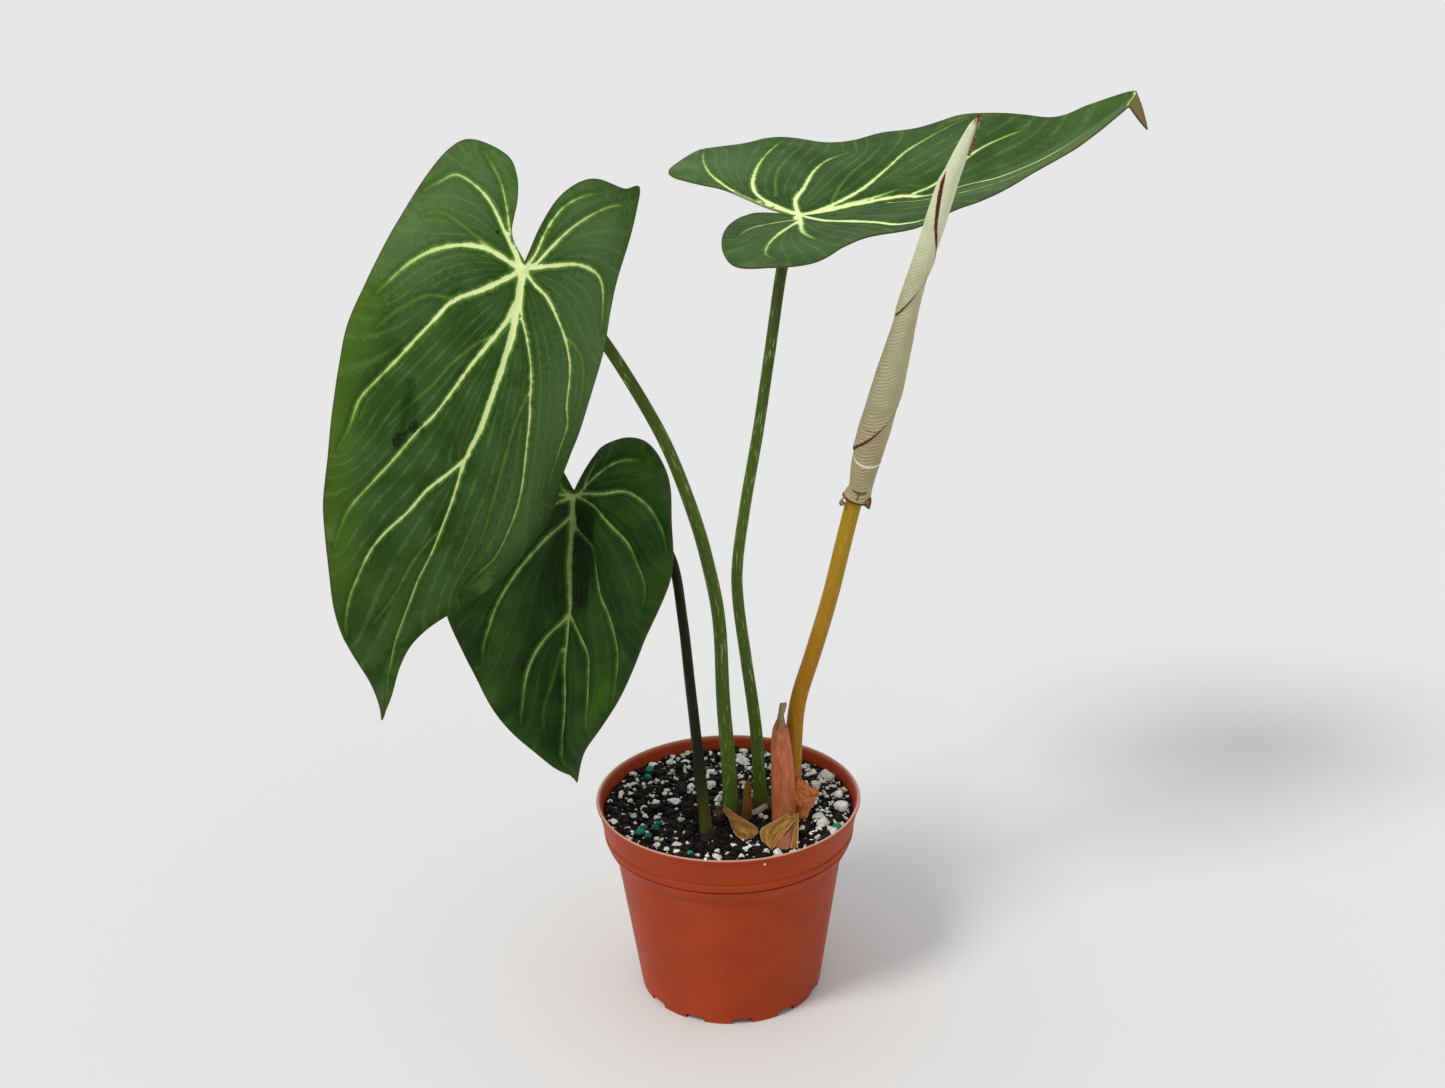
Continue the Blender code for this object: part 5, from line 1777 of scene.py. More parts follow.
@dataclass
class RolledLeaf:
    """The new leaf, still rolled: its axis, its radii, its seams and its scraps."""

    axis: tuple[Point, ...] = (
        (49.4, -8.3, 209.7), (49.8, -8.6, 211.2), (50.5, -9.4, 213.6), (52.0, -12.0, 223.7),
        (55.2, -15.9, 238.6), (59.6, -21.3, 259.5), (63.9, -26.6, 279.6), (67.6, -31.3, 297.3),
        (71.6, -35.3, 312.2), (75.8, -39.8, 328.8), (79.6, -43.1, 340.7), (83.2, -45.6, 350.1),
        (85.4, -46.8, 354.4))
    radii: tuple[Flat, ...] = (
        (209.7, 5.55), (210.4, 5.3), (211.6, 4.85), (213.6, 4.6), (216.0, 4.75), (223.7, 5.5),
        (238.6, 6.2), (259.5, 5.5), (279.6, 4.3), (297.3, 3.6), (312.2, 3.6), (328.8, 3.5),
        (340.7, 2.7), (350.1, 1.5), (354.4, 0.35))
    seams: tuple[Seam, ...] = (
        Seam(((0.122, -100), (0.14, -78), (0.168, -38), (0.211, 5),
              (0.268, 57), (0.32, 90), (0.40, 150), (0.46, 200)),
             (0.8, 0.9, 0.8, 0.7, 0.3, 0.2), 0.8),
        Seam(((0.49, -95), (0.52, -43), (0.585, 27), (0.625, 58), (0.65, 64), (0.68, 50), (0.735, 2),
              (0.80, -28), (0.862, -61)),
             (0.3, 0.4, 0.5, 0.8, 1.0, 1.0, 1.1, 0.9), 0.7),
        Seam(((0.212, -66), (0.210, -30), (0.214, 6)), (0.05, 0.25, 0.05), 0.35),
        Seam(((0.121, -75), (0.1135, -35), (0.1115, 0), (0.114, 35), (0.119, 72)), (0.5, 0.9, 0.5), 0.35,
             True))
    scraps: tuple[Scrap, ...] = (
        Scrap(((82.2, -44.4, 340.6), (83.0, -45.0, 343.0), (83.8, -45.7, 346.0), (84.6, -46.4, 349.4),
               (85.3, -46.9, 352.4), (85.8, -47.1, 354.6)), 1.6, 2.2, (0.9, -0.5, 0.0)),
        Scrap(((45.6, -9.4, 211.2), (44.2, -10.0, 210.6), (43.4, -10.4, 209.4), (43.9, -10.6, 208.2),
               (44.9, -10.4, 208.4)), 2.0, 0.5, (0.6, -0.3, 0.75), 0.08),
        Scrap(((52.6, -9.8, 211.6), (52.5, -10.8, 209.8), (53.0, -11.2, 208.2), (53.7, -11.4, 206.6)),
              3.2, 0.6, (0.95, -0.3, -0.1), 0.03))
    foot_inside: tuple[Flat, ...] = ((2.6, 3.2), (1.2, 4.3), (0.3, 5.15))
    columns: int = 112
    row_step: float = 0.42
    line_pitch: float = 1.45
    crease: float = 40.0
    scrap_columns: int = 7
    scrap_thickness: float = 0.25

    def lapped(self, flat: np.ndarray, radius: np.ndarray,
               length: float) -> tuple[np.ndarray, np.ndarray, np.ndarray]:
        """Lap the layers along the seams and mark the foot's scar.

        Args:
            flat: Unrolled places, around and up, one a row.
            radius: The radius of each ring.
            length: The leaf's length.

        Returns:
            The rise of the upper layers, the distance from a brown brim and the marks.
        """
        count = len(flat)
        share = np.linspace(0, 1, len(radius))
        lift, brim, mark = np.zeros(count), np.full(count, 9.0), np.zeros(count)
        for seam in self.seams:
            marks = np.array(seam.points, float)
            sizes_there = np.interp(marks[:, 0], share, radius)
            for turn in (-1, 0, 1):
                line = np.stack([(np.radians(marks[:, 1]) + turn * TURN) * sizes_there,
                                 marks[:, 0] * length], 1)
                gap, place, side = nearest_on_line(flat, smooth_points(line, 1.0))
                ends = np.clip(np.minimum(place, 1 - place) / 0.06, 0, 1)
                over = np.clip(gap * side / 0.3 + 0.5, 0, 1)
                rise = over * np.exp(-gap / 9.0) * ends * seam.step
                lift = np.where(gap < 22, np.maximum(lift, rise), lift)
                width = gap - evenly(seam.widths, place) * 0.5 * ends
                if seam.crease:
                    mark = np.maximum(mark, ends * np.clip(1.0 - width / 0.4, 0, 1))
                else:
                    brim = np.minimum(brim, width)
        around, up = flat.T
        scar = np.exp(-((around + 0.6) / 0.4) ** 2 - ((up - 3.6) / 1.9) ** 4)
        scar += np.exp(-((around + 0.4) / 3.4) ** 4 - ((up - 5.0 - around ** 2 / 30) / 0.6) ** 2)
        return lift, np.minimum(brim, up - 0.75), mark - np.clip(scar, 0, 1)

    def body(self) -> Shape:
        """Make the rolled body with its flared foot and lapped layers.

        Returns:
            The points, the faces and the layers.
        """
        path = smooth_points(self.axis, self.row_step)
        rows = len(path)
        length = step_lengths(path).sum()
        share = np.linspace(0, 1, rows)
        radius = np.interp(path[:, 2], *np.array(self.radii).T)
        angle = (np.arange(self.columns) / self.columns - 0.5) * TURN
        unrolled = np.stack(np.broadcast_arrays(radius[:, None] * angle[None], share[:, None] * length), 2)
        flat = unrolled.reshape(-1, 2)
        lift, brim, mark = self.lapped(flat, radius, length)
        around, up = flat.T
        long = soft_noise(np.column_stack([flat * (0.5, 0.12), np.zeros(len(flat))]), 1.0, 2.0)
        size = np.repeat(radius, self.columns)
        foot = np.clip(up / 6.0, 0, 1)
        reach = (size * (1 - 0.07 * foot) + (lift + 0.12 * long) * foot).reshape(rows, self.columns)
        side, front = path_frames(path)
        ring = front[:, None] * np.cos(angle)[None, :, None] + side[:, None] * np.sin(angle)[None, :, None]
        shell = path[:, None] + ring * reach[..., None]
        inner = [path[0] + np.array([0, 0, rise]) + ring[0] * size_in for rise, size_in in self.foot_inside]
        points = np.concatenate([np.array(inner), shell]).reshape(-1, 3)
        extra = len(inner) * self.columns
        along = np.repeat(share, self.columns)
        row = (up - around * (0.15 + 1.5 * along) - 0.03 * around ** 2) / self.line_pitch
        layers = {"row": row, "seam": brim, "along": along, "mark": mark}
        layers = {key: np.concatenate([np.full(extra, value[0]), value]) for key, value in layers.items()}
        layers["flat"] = points
        return points, barrel_faces(rows + len(inner), self.columns), layers

    def scrap(self, scrap: Scrap) -> Shape:
        """Make one dry scrap.

        Args:
            scrap: Its line, width and turn.

        Returns:
            The points, the faces and the layers.
        """
        spots = smooth_points(scrap.line, 0.4)
        rows, columns = len(spots), self.scrap_columns
        grid = np.zeros((rows, columns, 3))
        lean = np.array(scrap.face)
        for i, spot in enumerate(spots):
            t = i / (rows - 1)
            width = scrap.width * math.sin(math.pi * min(0.2 + t * 0.78, 1.0)) + 0.2
            swing = scrap.turn * t
            across = np.array([lean[0] * math.cos(swing), lean[1], lean[0] * math.sin(swing) + lean[2]])
            for j in range(columns):
                s = j / (columns - 1) - 0.4
                grid[i, j] = spot + across * width * s + np.array([0, -0.5, 0]) * (1 - 4 * s * s) * width
        points, faces = thin_shell(grid, self.scrap_thickness)
        count = len(points)
        brim = np.tile(np.minimum(np.arange(columns), np.arange(columns)[::-1]) * scrap.pale - 0.1,
                       2 * rows)
        layers = {"row": np.zeros(count), "seam": brim, "along": np.full(count, 0.3),
                  "mark": np.zeros(count), "flat": points}
        return points, faces, layers

    def build(self) -> None:
        """Join the body and the scraps."""
        shapes = [self.body()] + [self.scrap(scrap) for scrap in self.scraps]
        piece = mesh_piece("rolled_leaf", *joined(shapes, ROLLED), self.crease)
        dress(piece, "new_leaf", "leaf_new_rolled")


def joined(shapes: Sequence[Shape], finish: Finish) -> tuple[np.ndarray, list, Finish, Layers]:
    """Join shapes that carry the same layers.

    Args:
        shapes: Points, faces and layers of each shape.
        finish: The finish of the whole.

    Returns:
        Points, faces, the finish and layers, as mesh_piece takes them.
    """
    faces, count = [], 0
    for points, own, _ in shapes:
        faces.extend(tuple(i + count for i in f) for f in own)
        count += len(points)
    layers = {key: np.concatenate([layer[key] for _, _, layer in shapes]) for key in shapes[0][2]}
    return np.concatenate([points for points, _, _ in shapes]), faces, finish, layers


# Bracts
@dataclass
class Bract:
    """The pink bract round the newest stalk: a strip of a cone with a dry pointed head."""

    foot: Point = (21.6, -13.6, SOIL_LEVEL - 0.6)
    head: Point = (20.4, -10.2, 120.6)
    bow: float = 1.2
    radii: tuple[float, ...] = (4.6, 4.6, 4.6, 4.6, 4.55, 4.5, 4.4, 4.25, 4.1, 3.9, 3.6, 3.0, 1.4)
    wrap: tuple[float, ...] = (300, 300, 295, 290, 285, 280, 275, 270, 265, 255, 240, 220, 170)
    facing: float = -80.0
    crumple: float = 0.22
    ragged: float = 0.05
    thickness: float = 0.9
    rows: int = 90
    columns: int = 64

    def build(self) -> None:
        """Wrap the strip round its axis, crumple it and thicken it."""
        foot, head = np.array(self.foot), np.array(self.head)
        facing = math.radians(self.facing)
        front = np.array([math.cos(facing), math.sin(facing), 0.0])
        side = np.array([-front[1], front[0], 0.0])
        across = np.linspace(-0.5, 0.5, self.columns)
        torn = 1 - self.ragged * np.clip(0.5 + np.cos(across * 31), 0, 1.4)
        grid = np.zeros((self.rows, self.columns, 3))
        flat = np.zeros((self.rows, self.columns, 3))
        for i in range(self.rows):
            t = i / (self.rows - 1) * torn
            centre = foot + (head - foot) * t[:, None] + front * (self.bow * np.sin(math.pi * t))[:, None]
            radius = evenly(self.radii, t)
            angle = np.radians(evenly(self.wrap, t)) * across
            crease = soft_noise(np.column_stack([angle * radius * 0.35, t * 2.2, t * 0]), 1.0, 1.0)
            ring = front * np.cos(angle)[:, None] + side * np.sin(angle)[:, None]
            grid[i] = centre + ring * (radius + self.crumple * crease * (0.3 + t))[:, None]
            flat[i] = np.column_stack([angle * radius, t * np.linalg.norm(head - foot), t * 0])
        bract_piece("pink_cataphyll", grid, flat, self.thickness, PINK_BRACT, "bract", "cataphyll")


@dataclass
class TornFlap:
    """A dry scrap of an old bract, laid through a grid of its own points.

    The grid's rows run along the scrap and its columns across it.
    """

    name: str
    node: str | None
    slot: str
    finish: Finish
    grid: tuple[tuple[Point, ...], ...]
    crumple: float = 0.5
    ragged: float = 0.06
    pleats: int = 0
    thickness: float = 0.5
    seed: float = 0.0
    rows: int = 56
    columns: int = 32

    def build(self) -> None:
        """Lay the scrap through its grid, crumple it, tear its rim and thicken it."""
        knots = np.array(self.grid)
        rows, columns = self.rows, self.columns
        zero = np.zeros(columns)
        torn = soft_noise(np.column_stack([np.linspace(0, 7, columns), zero, zero]), 1.0, self.seed)
        edge = soft_noise(np.column_stack([np.linspace(0, 9, rows), np.ones(rows), np.zeros(rows)]), 1.0, 3.0)
        marks = np.linspace(0, 1, rows)
        strips = np.stack([curve_at(knots[:, k], marks) for k in range(knots.shape[1])], 1)
        grid = np.zeros((rows, columns, 3))
        for i in range(rows):
            share = 0.5 + np.linspace(-0.5, 0.5, columns) * (1 - self.ragged * (1 + edge[i]))
            grid[i] = curve_at(strips[i], share)
        for j in range(columns):
            reach = marks * (1 - self.ragged * (1 + 1.6 * torn[j]))
            column = grid[:, j].copy()
            grid[:, j] = np.stack([np.interp(reach, marks, column[:, k]) for k in range(3)], 1)
        spots = grid.reshape(-1, 3)
        crease = soft_noise(spots, 0.32, self.seed) + 0.5 * soft_noise(spots, 0.8, self.seed + 5)
        pleat = 0.16 * np.cos(TURN * self.pleats * np.linspace(0, 1, columns)) if self.pleats else zero
        lift = self.crumple * crease.reshape(rows, columns) * np.minimum(marks * 4, 1)[:, None] + pleat
        grid = grid + grid_normals(grid) * lift[..., None]
        wide = np.linalg.norm(np.diff(grid, axis=1), axis=2).sum(1)
        tall = np.linalg.norm(np.diff(grid, axis=0), axis=2).sum(0).mean()
        across = wide[:, None] * np.linspace(0, 1, columns)[None]
        up = np.repeat(marks[:, None] * tall, columns, 1)
        flat = np.stack([across, up, np.zeros_like(up)], 2)
        bract_piece(self.name, grid, flat, self.thickness, self.finish, self.slot, self.node)


def bract_piece(name: str, grid: np.ndarray, flat: np.ndarray, thickness: float, finish: Finish,
                slot: str, node: str | None) -> None:
    """Thicken a bract's grid and dress it.

    Args:
        name: The piece's name.
        grid: Its outer points as rows and columns.
        flat: Its flat places, across and along, as rows and columns.
        thickness: Its thickness.
        finish: Its finish.
        slot: The record's material slot.
        node: The node that it replaces, if any.
    """
    rows, columns = grid.shape[:2]
    points, faces = thin_shell(grid, thickness)
    width = flat[..., 0].max(1) - flat[..., 0].min(1)
    place = np.minimum(np.arange(columns), np.arange(columns)[::-1]) / (columns - 1)
    head = (flat[..., 1].max() - flat[..., 1]) + 0.2
    margin = np.minimum(width[:, None] * place[None], head).ravel()
    along = np.repeat(np.linspace(0, 1, rows), columns)
    layers = {"flat": np.tile(flat.reshape(-1, 3), (2, 1)), "along": np.tile(along, 2),
              "margin": np.tile(margin, 2)}
    dress(mesh_piece(name, points, faces, finish, layers, SHEET_CREASE), slot, *([node] if node else []))


# Studio
@dataclass
class Studio:
    """The plain pale floor, the soft lights and the camera at the photograph's angle."""

    floor_size: float = 16.0
    camera_place: Point = (-0.5, -669.7, 445.4)
    pitch: float = 20.93
    camera_roll: float = -1.03
    focal_pixels: float = 1900.0
    sensor: float = 36.0
    sky: float = 0.72
    sun_from: Point = (-0.5, -0.42, 0.8)
    sun_power: float = 1.5
    sun_width: float = 16.0

    def build(self) -> None:
        """Lay the floor, then set the lights and the camera."""
        self.lay_floor()
        self.hang_sun()
        world = bpy.context.scene.world or bpy.data.worlds.new("studio_air")
        bpy.context.scene.world = world
        world.use_nodes = True
        air = world.node_tree.nodes["Background"]
        air.inputs["Color"].default_value = (0.96, 0.98, 1.0, 1.0)
        air.inputs["Strength"].default_value = self.sky
        bpy.context.scene.view_settings.view_transform = "Standard"
        self.set_camera()

    def lay_floor(self) -> None:
        """Lay the floor as one flat face."""
        half = self.floor_size / 2 / MM
        corners = np.array([(-half, -half, 0), (half, -half, 0), (half, half, 0), (-half, half, 0)], float)
        mesh_piece("studio_floor", corners, [(0, 1, 2, 3)], FLOOR)

    def hang_sun(self) -> None:
        """Hang the broad, soft key light at the front left."""
        data = bpy.data.lights.new("soft_key_light", "SUN")
        data.energy = self.sun_power
        data.angle = math.radians(self.sun_width)
        data.color = (1.0, 0.985, 0.96)
        lamp = in_scene("soft_key_light", data)
        lamp.rotation_euler = Vector(self.sun_from).to_track_quat("Z", "Y").to_euler()

    def set_camera(self) -> None:
        """Stand the camera where the photograph was taken from."""
        data = bpy.data.cameras.new("photo_camera")
        data.sensor_fit = "HORIZONTAL"
        data.sensor_width = self.sensor
        data.lens = self.sensor * self.focal_pixels / IMAGE_WIDTH
        data.dof.use_dof = False
        camera = in_scene("photo_camera", data)
        tilt = Matrix.Rotation(math.radians(90 - self.pitch), 4, "X")
        roll = Matrix.Rotation(math.radians(self.camera_roll), 4, "Z")
        camera.matrix_world = Matrix.Translation(Vector(self.camera_place) * MM) @ tilt @ roll
        bpy.context.scene.camera = camera


# The plant's own pieces
FRONT_LEAF = LeafBlade(
    "striped_leaf_large", "leaf_blade_large", "leaf", GREEN_LEAF, joint=(-66.7, -28.0, 302.4),
    heading=-119, droop=60, roll=58, bend=11, lobe_bend=7, fold=(3, 9), lobe_fold=-2,
    curl=(-26, -38), twist=18, length=164, half_width=58, sway=(-2, 1, 3, 7),
    plus_side=((0, -2), (7, -10), (8, -22), (10, -30), (15, -36), (27, -38), (34, -33), (41, -18),
               (48, 4), (54, 22), (56, 37), (54, 54), (51, 78), (45, 103), (31, 128), (10, 150), (0, 164)),
    minus_side=((0, -2), (-2, -15), (-6, -27), (-12, -35), (-19, -39), (-31, -40), (-38, -43),
                (-39, -30), (-40, 0), (-43, 33), (-49, 61), (-53, 80), (-50, 95), (-40, 106),
                (-26, 117), (-11, 129), (-4, 143), (0, 164)),
    veins=(
        Vein((3.0, 2.6, 2.3, 2.05, 1.15, 0.94, 0.72, 0.58, 0.36), ((0, 0), (0, 17), (0, 32), (-1, 47),
            (-1, 57), (1, 69), (0, 84), (1, 103), (2, 112), (1, 121), (0, 140), (1, 148), (0, 160)), 0),
        Vein((1.15, 0.72, 0.5, 0.22), ((0, 0), (2, -2), (8, -11), (11, -18), (15, -26), (20, -32),
            (23, -35)), 5.2),
        Vein((1.87, 1.51, 1.15, 0.86, 0.36), ((0, 0), (2, -1), (10, -10), (17, -18), (23, -22), (30, -24),
            (35, -20), (40, -15)), 4.4),
        Vein((2.02, 1.8, 1.44, 1.01, 0.36), ((0, 0), (4, 0), (14, -2), (22, -1), (29, 2), (35, 6), (42, 13),
            (50, 24)), 3.4),
        Vein((1.87, 1.87, 1.44, 1.15, 0.86, 0.36), ((0, 0), (4, 4), (14, 12), (24, 19), (29, 27), (33, 35),
            (37, 44), (41, 52), (45, 60), (46, 70), (48, 77)), 2.3),
        Vein((1.87, 1.58, 1.15, 1.01, 0.72, 0.29), ((1, 13), (3, 19), (7, 27), (11, 37), (14, 47), (18, 57),
            (23, 65), (28, 75), (33, 84), (38, 93), (40, 101), (40, 107)), 1.2),
        Vein((1.58, 1.3, 1.01, 0.65, 0.29), ((0, 67), (2, 70), (6, 75), (12, 82), (17, 91), (24, 100),
            (27, 107), (28, 115), (28, 122), (26, 130), (24, 134)), 0.6),
        Vein((1.01, 0.65, 0.36), ((0, 0), (-3, -6), (-5, -16), (-9, -25), (-15, -31), (-22, -35)), -4.4),
        Vein((1.37, 1.08, 0.79, 0.36), ((0, 0), (-4, -3), (-8, -10), (-13, -18), (-19, -25), (-26, -31),
            (-32, -34), (-34, -32)), -3.6),
        Vein((1.8, 1.51, 1.3, 0.86, 0.29), ((0, 0), (-5, -2), (-12, -5), (-20, -8), (-28, -8), (-33, -5),
            (-36, 2), (-38, 11)), -2.8),
        Vein((1.58, 1.3, 0.94, 0.79, 0.58, 0.29), ((0, 0), (-5, 4), (-11, 7), (-17, 13), (-22, 19),
            (-27, 27), (-33, 40), (-38, 47), (-41, 61), (-43, 72)), -1.9),
        Vein((1.01, 0.79, 0.86, 1.08, 0.86, 0.58, 0.22), ((-1, 6), (-2, 15), (-6, 23), (-11, 32), (-16, 43),
            (-19, 49), (-25, 66), (-29, 78), (-30, 89), (-29, 99), (-23, 107), (-19, 114)), -1.0),
        minor((1, 94), (6, 100), (9, 106), (10, 111), (11, 118), (13, 124), (16, 129)),
        minor((12, -3), (20, -5), (28, -8), (34, -9), (39, -6)),
        minor((12, 10), (20, 17), (33, 20), (42, 28), (47, 36)),
        minor((4, 20), (7, 25), (13, 31), (19, 40), (23, 49), (31, 61), (34, 66)),
        minor((-14, 36), (-13, 52), (-14, 70), (-16, 86), (-17, 98)),
        minor((-21, 17), (-30, 22), (-36, 32), (-40, 44))),
    # Patches partly yellower in their own colour and partly painted glow of light through the blade.
    yellowing_and_glow_spots=(Spot((56, 20), 14, 0.6, (58, 62)), Spot((52, 80), 13, 0.5, (36, 116)),
                Spot((22, -35), 12, 0.4), Spot((-40, -38), 8, 0.4), Spot((8, 118), 14, 0.3)),
    wet_spots=(Spot((30, 50), 2.2, 1.0, (28, 70)), Spot((25.5, 56), 1.3, 0.7, (24.6, 64)),
               Spot((-17, 29.2), 0.6, 1.0)),
    # Painted sheen on the half with u below zero and on both lobes.
    painted_sheen_and_shade_spots=(Spot((-33, 10), 22, 0.75, (-34, 85)), Spot((26, -24), 20, 0.8, (44, 4)),
                Spot((-22, -26), 18, 0.75)),
    quilting=0.9, sink=0.5, corrugation=0.1)
UPPER_LEAF = LeafBlade(
    "striped_leaf_upper", "leaf_blade_upper", "leaf", GREEN_LEAF, joint=(29.5, 20.0, 309.5),
    heading=10, droop=1, roll=-8.5, bend=-28, lobe_bend=-20, fold=(12.5, 16), lobe_fold=-7,
    curl=(-6, -12), twist=6, length=134, half_width=64, sway=(-3, -1, 2, 2),
    tip_fold=100, tip_fold_from=132.8, tip_slant=0.353,
    plus_side=((-1, -3), (-1, -18), (16, -29.5), (36.5, -35.5), (55, -34.5), (64, -25), (65, -8),
               (59, 17), (57, 36.5), (47.5, 59), (38.5, 81), (34.5, 99.5), (29.5, 112.5),
               (25.2, 124), (22, 131), (18.5, 137), (15.5, 141)),
    minus_side=((-1, -3), (-8, -12), (-20, -23), (-28.5, -35.5), (-37.5, -42.5), (-53, -36.5),
                (-67, -22), (-72, -8), (-65, 14), (-58, 36.5), (-59, 59), (-55, 78), (-40.5, 93),
                (-19, 105.5), (-13, 118), (-7, 128), (-2.3, 133.6),
                (4, 137.8), (10.5, 140.3), (15.5, 141)),
    veins=(
        Vein((2.6, 2.0, 2.0, 2.2, 0.9, 0.4), ((0, 0), (0, 6), (-2, 21), (-3, 39), (3, 51), (4, 63),
            (13, 73), (19, 88), (12, 109), (7, 122), (9, 133), (14.5, 140)), 0,
            (1.0, 1.0, 0.95, 0.9, 0.2, 0.06)),
        Vein((1.63, 1.5, 1.22, 0.82, 0.34), ((0, 0), (-1, -2), (-5, -9), (-12, -16), (-21, -22), (-36, -27),
            (-52, -27), (-65, -24)), -4.6),
        Vein((1.77, 1.77, 1.5, 0.95, 0.34), ((0, 0), (-8, -8), (-12, -11), (-19, -13), (-28, -12),
            (-43, -7), (-55, 0), (-65, 9)), -3.6),
        Vein((1.9, 1.9, 1.5, 0.95, 0.34), ((0, 0), (-2, 0), (-11, 1), (-19, 6), (-31, 13), (-41, 22),
            (-46, 31)), -2.6),
        Vein((1.9, 1.63, 1.22, 0.88, 0.34), ((0, 0), (-1, 6), (-5, 16), (-12, 27), (-24, 39), (-36, 51),
            (-45, 63), (-49, 73), (-48, 81)), -1.6),
        Vein((2.31, 1.77, 0.82), ((0, 2), (-1, 10), (-4, 25), (-8, 40)), -0.5),
        Vein((1.0, 1.5, 1.3, 0.5), ((-3, 44), (-6, 54), (-18, 70), (-22, 79), (-22, 87), (-20, 96)), -0.8),
        Vein((1.5, 0.88, 0.34), ((0, 0), (6, -3), (11, -4), (14, -12), (20, -22), (28, -28)), 4.0),
        Vein((1.77, 1.63, 1.36, 0.82, 0.34), ((0, 0), (6, -2), (14, -3), (30, -14), (41, -20), (51, -23),
            (58, -21)), 3.0),
        Vein((2.04, 2.04, 1.5, 0.54), ((0, 0), (16, -3), (33, -6), (46, -4)), 2.2),
        Vein((2.2, 2.4, 2.6, 2.4, 1.6), ((0, 0), (13, 3), (23, 8), (34, 15), (41.5, 21), (48, 25),
            (52, 35)), 1.2, (1.0, 1.0, 1.0, 0.95, 0.8)),
        Vein((0.82, 0.68, 0.54, 0.2), ((0, 34), (18, 50), (28, 73), (30, 94)), 0.5),
        minor((-6, 14), (-22, 24), (-36, 36), (-48, 46)),
        minor((-14, -6), (-32, -2), (-46, 6), (-56, 16)),
        Vein((0.9, 0.9), ((-2.0, 133.4), (25.0, 123.9)), None, (0.6, 0.6))),
    # Patches partly yellower in their own colour and partly painted glow of light through the blade.
    yellowing_and_glow_spots=(Spot((20, 118), 12, 0.5, (40, 80)), Spot((-8, 125), 9, 0.4)),
    # Painted sheen in lighter patches.
    painted_sheen_and_shade_spots=(Spot((-44, -20), 26, 0.6), Spot((44, -16), 20, 0.35), Spot((26, 66), 26, 0.5, (16, 104)),
                Spot((-36, 60), 20, 0.35)),
    quilting=0.25, sink=0.05)
SMALL_LEAF = LeafBlade(
    "striped_leaf_small", "leaf_blade_small", "dark_leaf", DARK_LEAF, joint=(-54.8, -15.0, 214.8),
    heading=-107, droop=65, roll=-16, bend=19, lobe_bend=14, fold=(22, 24), lobe_fold=0,
    curl=(-18, -20), twist=0, length=109.5, half_width=53, sway=(-0.5, -0.5, 0.5, 4),
    plus_side=((0, -2), (5, -9), (12, -17), (22, -20.5), (33, -19), (42, -13), (49, -2), (52.5, 14),
               (52, 31), (47, 47), (39.5, 60.5), (30, 75), (20.5, 86), (11, 95), (4, 102), (-4, 106)),
    minus_side=((0, -2), (-6, -10), (-13, -17), (-21, -20), (-29, -21), (-37, -19.5), (-44, -14),
                (-50, -4), (-53.5, 10), (-53.5, 24), (-50, 36), (-44, 49), (-35, 66), (-25, 82),
                (-13, 95.5), (-4, 106)),
    veins=(
        Vein((1.87, 1.73, 1.51, 1.01, 0.79, 0.43), ((0, 0), (0, 14), (0, 26), (-1, 40), (-1, 50), (0, 67),
            (-2, 82), (-1, 91), (1, 99), (-3, 104)), 0),
        Vein((0.72, 0.58, 0.29), ((0, 0), (4, -2), (8, -8), (12, -14)), 4.6),
        Vein((0.79, 0.72, 0.5, 0.22), ((0, 0), (4, -2), (10, -6), (19, -11), (27, -13), (35, -13)), 3.9),
        Vein((0.94, 0.86, 0.65, 0.29), ((0, 0), (2, 0), (17, -1), (29, -2), (38, 1), (44, 5), (49, 11),
            (51, 18)), 3.1),
        Vein((0.94, 0.79, 0.58, 0.22), ((0, 0), (6, 3), (16, 7), (25, 12), (33, 17), (38, 24), (42, 37)),
            2.2),
        Vein((1.08, 0.94, 0.72, 0.36), ((0, 3), (1, 8), (8, 15), (15, 23), (21, 31), (27, 41), (30, 50),
            (32, 57), (32, 63)), 1.3),
        Vein((1.08, 0.86, 0.65, 0.29), ((0, 44), (1, 46), (7, 52), (12, 60), (15, 69), (15, 78), (15, 85)),
            0.6),
        Vein((0.79, 0.72, 0.5, 0.22), ((0, 0), (-4, -2), (-10, -6), (-19, -11), (-27, -13), (-35, -13)),
            -3.9),
        Vein((0.72, 0.58, 0.29), ((0, 0), (-4, -2), (-8, -8), (-12, -14)), -4.6),
        Vein((1.01, 0.86, 0.65, 0.22), ((0, 0), (-6, -1), (-17, -1), (-29, -2), (-38, 1), (-44, 5),
            (-49, 11), (-51, 18)), -3.1),
        Vein((1.01, 0.94, 0.65, 0.22), ((0, 0), (-5, 1), (-16, 6), (-25, 11), (-33, 16), (-38, 23),
            (-42, 30), (-42, 37)), -2.2),
        Vein((0.79, 0.65, 0.72, 0.58, 0.22), ((-1, 8), (-2, 12), (-12, 21), (-16, 27), (-20, 35), (-25, 41),
            (-29, 48), (-31, 55), (-30, 66), (-29, 71)), -1.3),
        Vein((0.86, 0.72, 0.5, 0.22), ((-1, 42), (-2, 44), (-10, 51), (-15, 57), (-15, 66), (-16, 76),
            (-17, 85)), -0.6),
        minor((1, 56), (4, 68), (6, 78), (5, 88))),
    # Patches partly yellower in their own colour and partly painted glow of light through the blade.
    yellowing_and_glow_spots=(Spot((-26, 68), 7, 0.45, (-18, 80)), Spot((28, 74), 6, 0.4), Spot((0, 100), 7, 0.4)),
    # Painted sheen on the lobes; the two patches with strength below zero are painted shadow beside the
    # midrib near the stalk's joint.
    painted_sheen_and_shade_spots=(Spot((24, -10), 14, 0.7, (40, 6)), Spot((-30, -8), 12, 0.3),
                Spot((-7, 9), 6.5, -1.0, (-7, 36)), Spot((5, 12), 3.0, -0.4, (5, 28))),
    quilting=2.0, sink=0.9, corrugation=0.34,
    hollow=Spot((-9, 8), 6, 3.6, (-9, 38)))

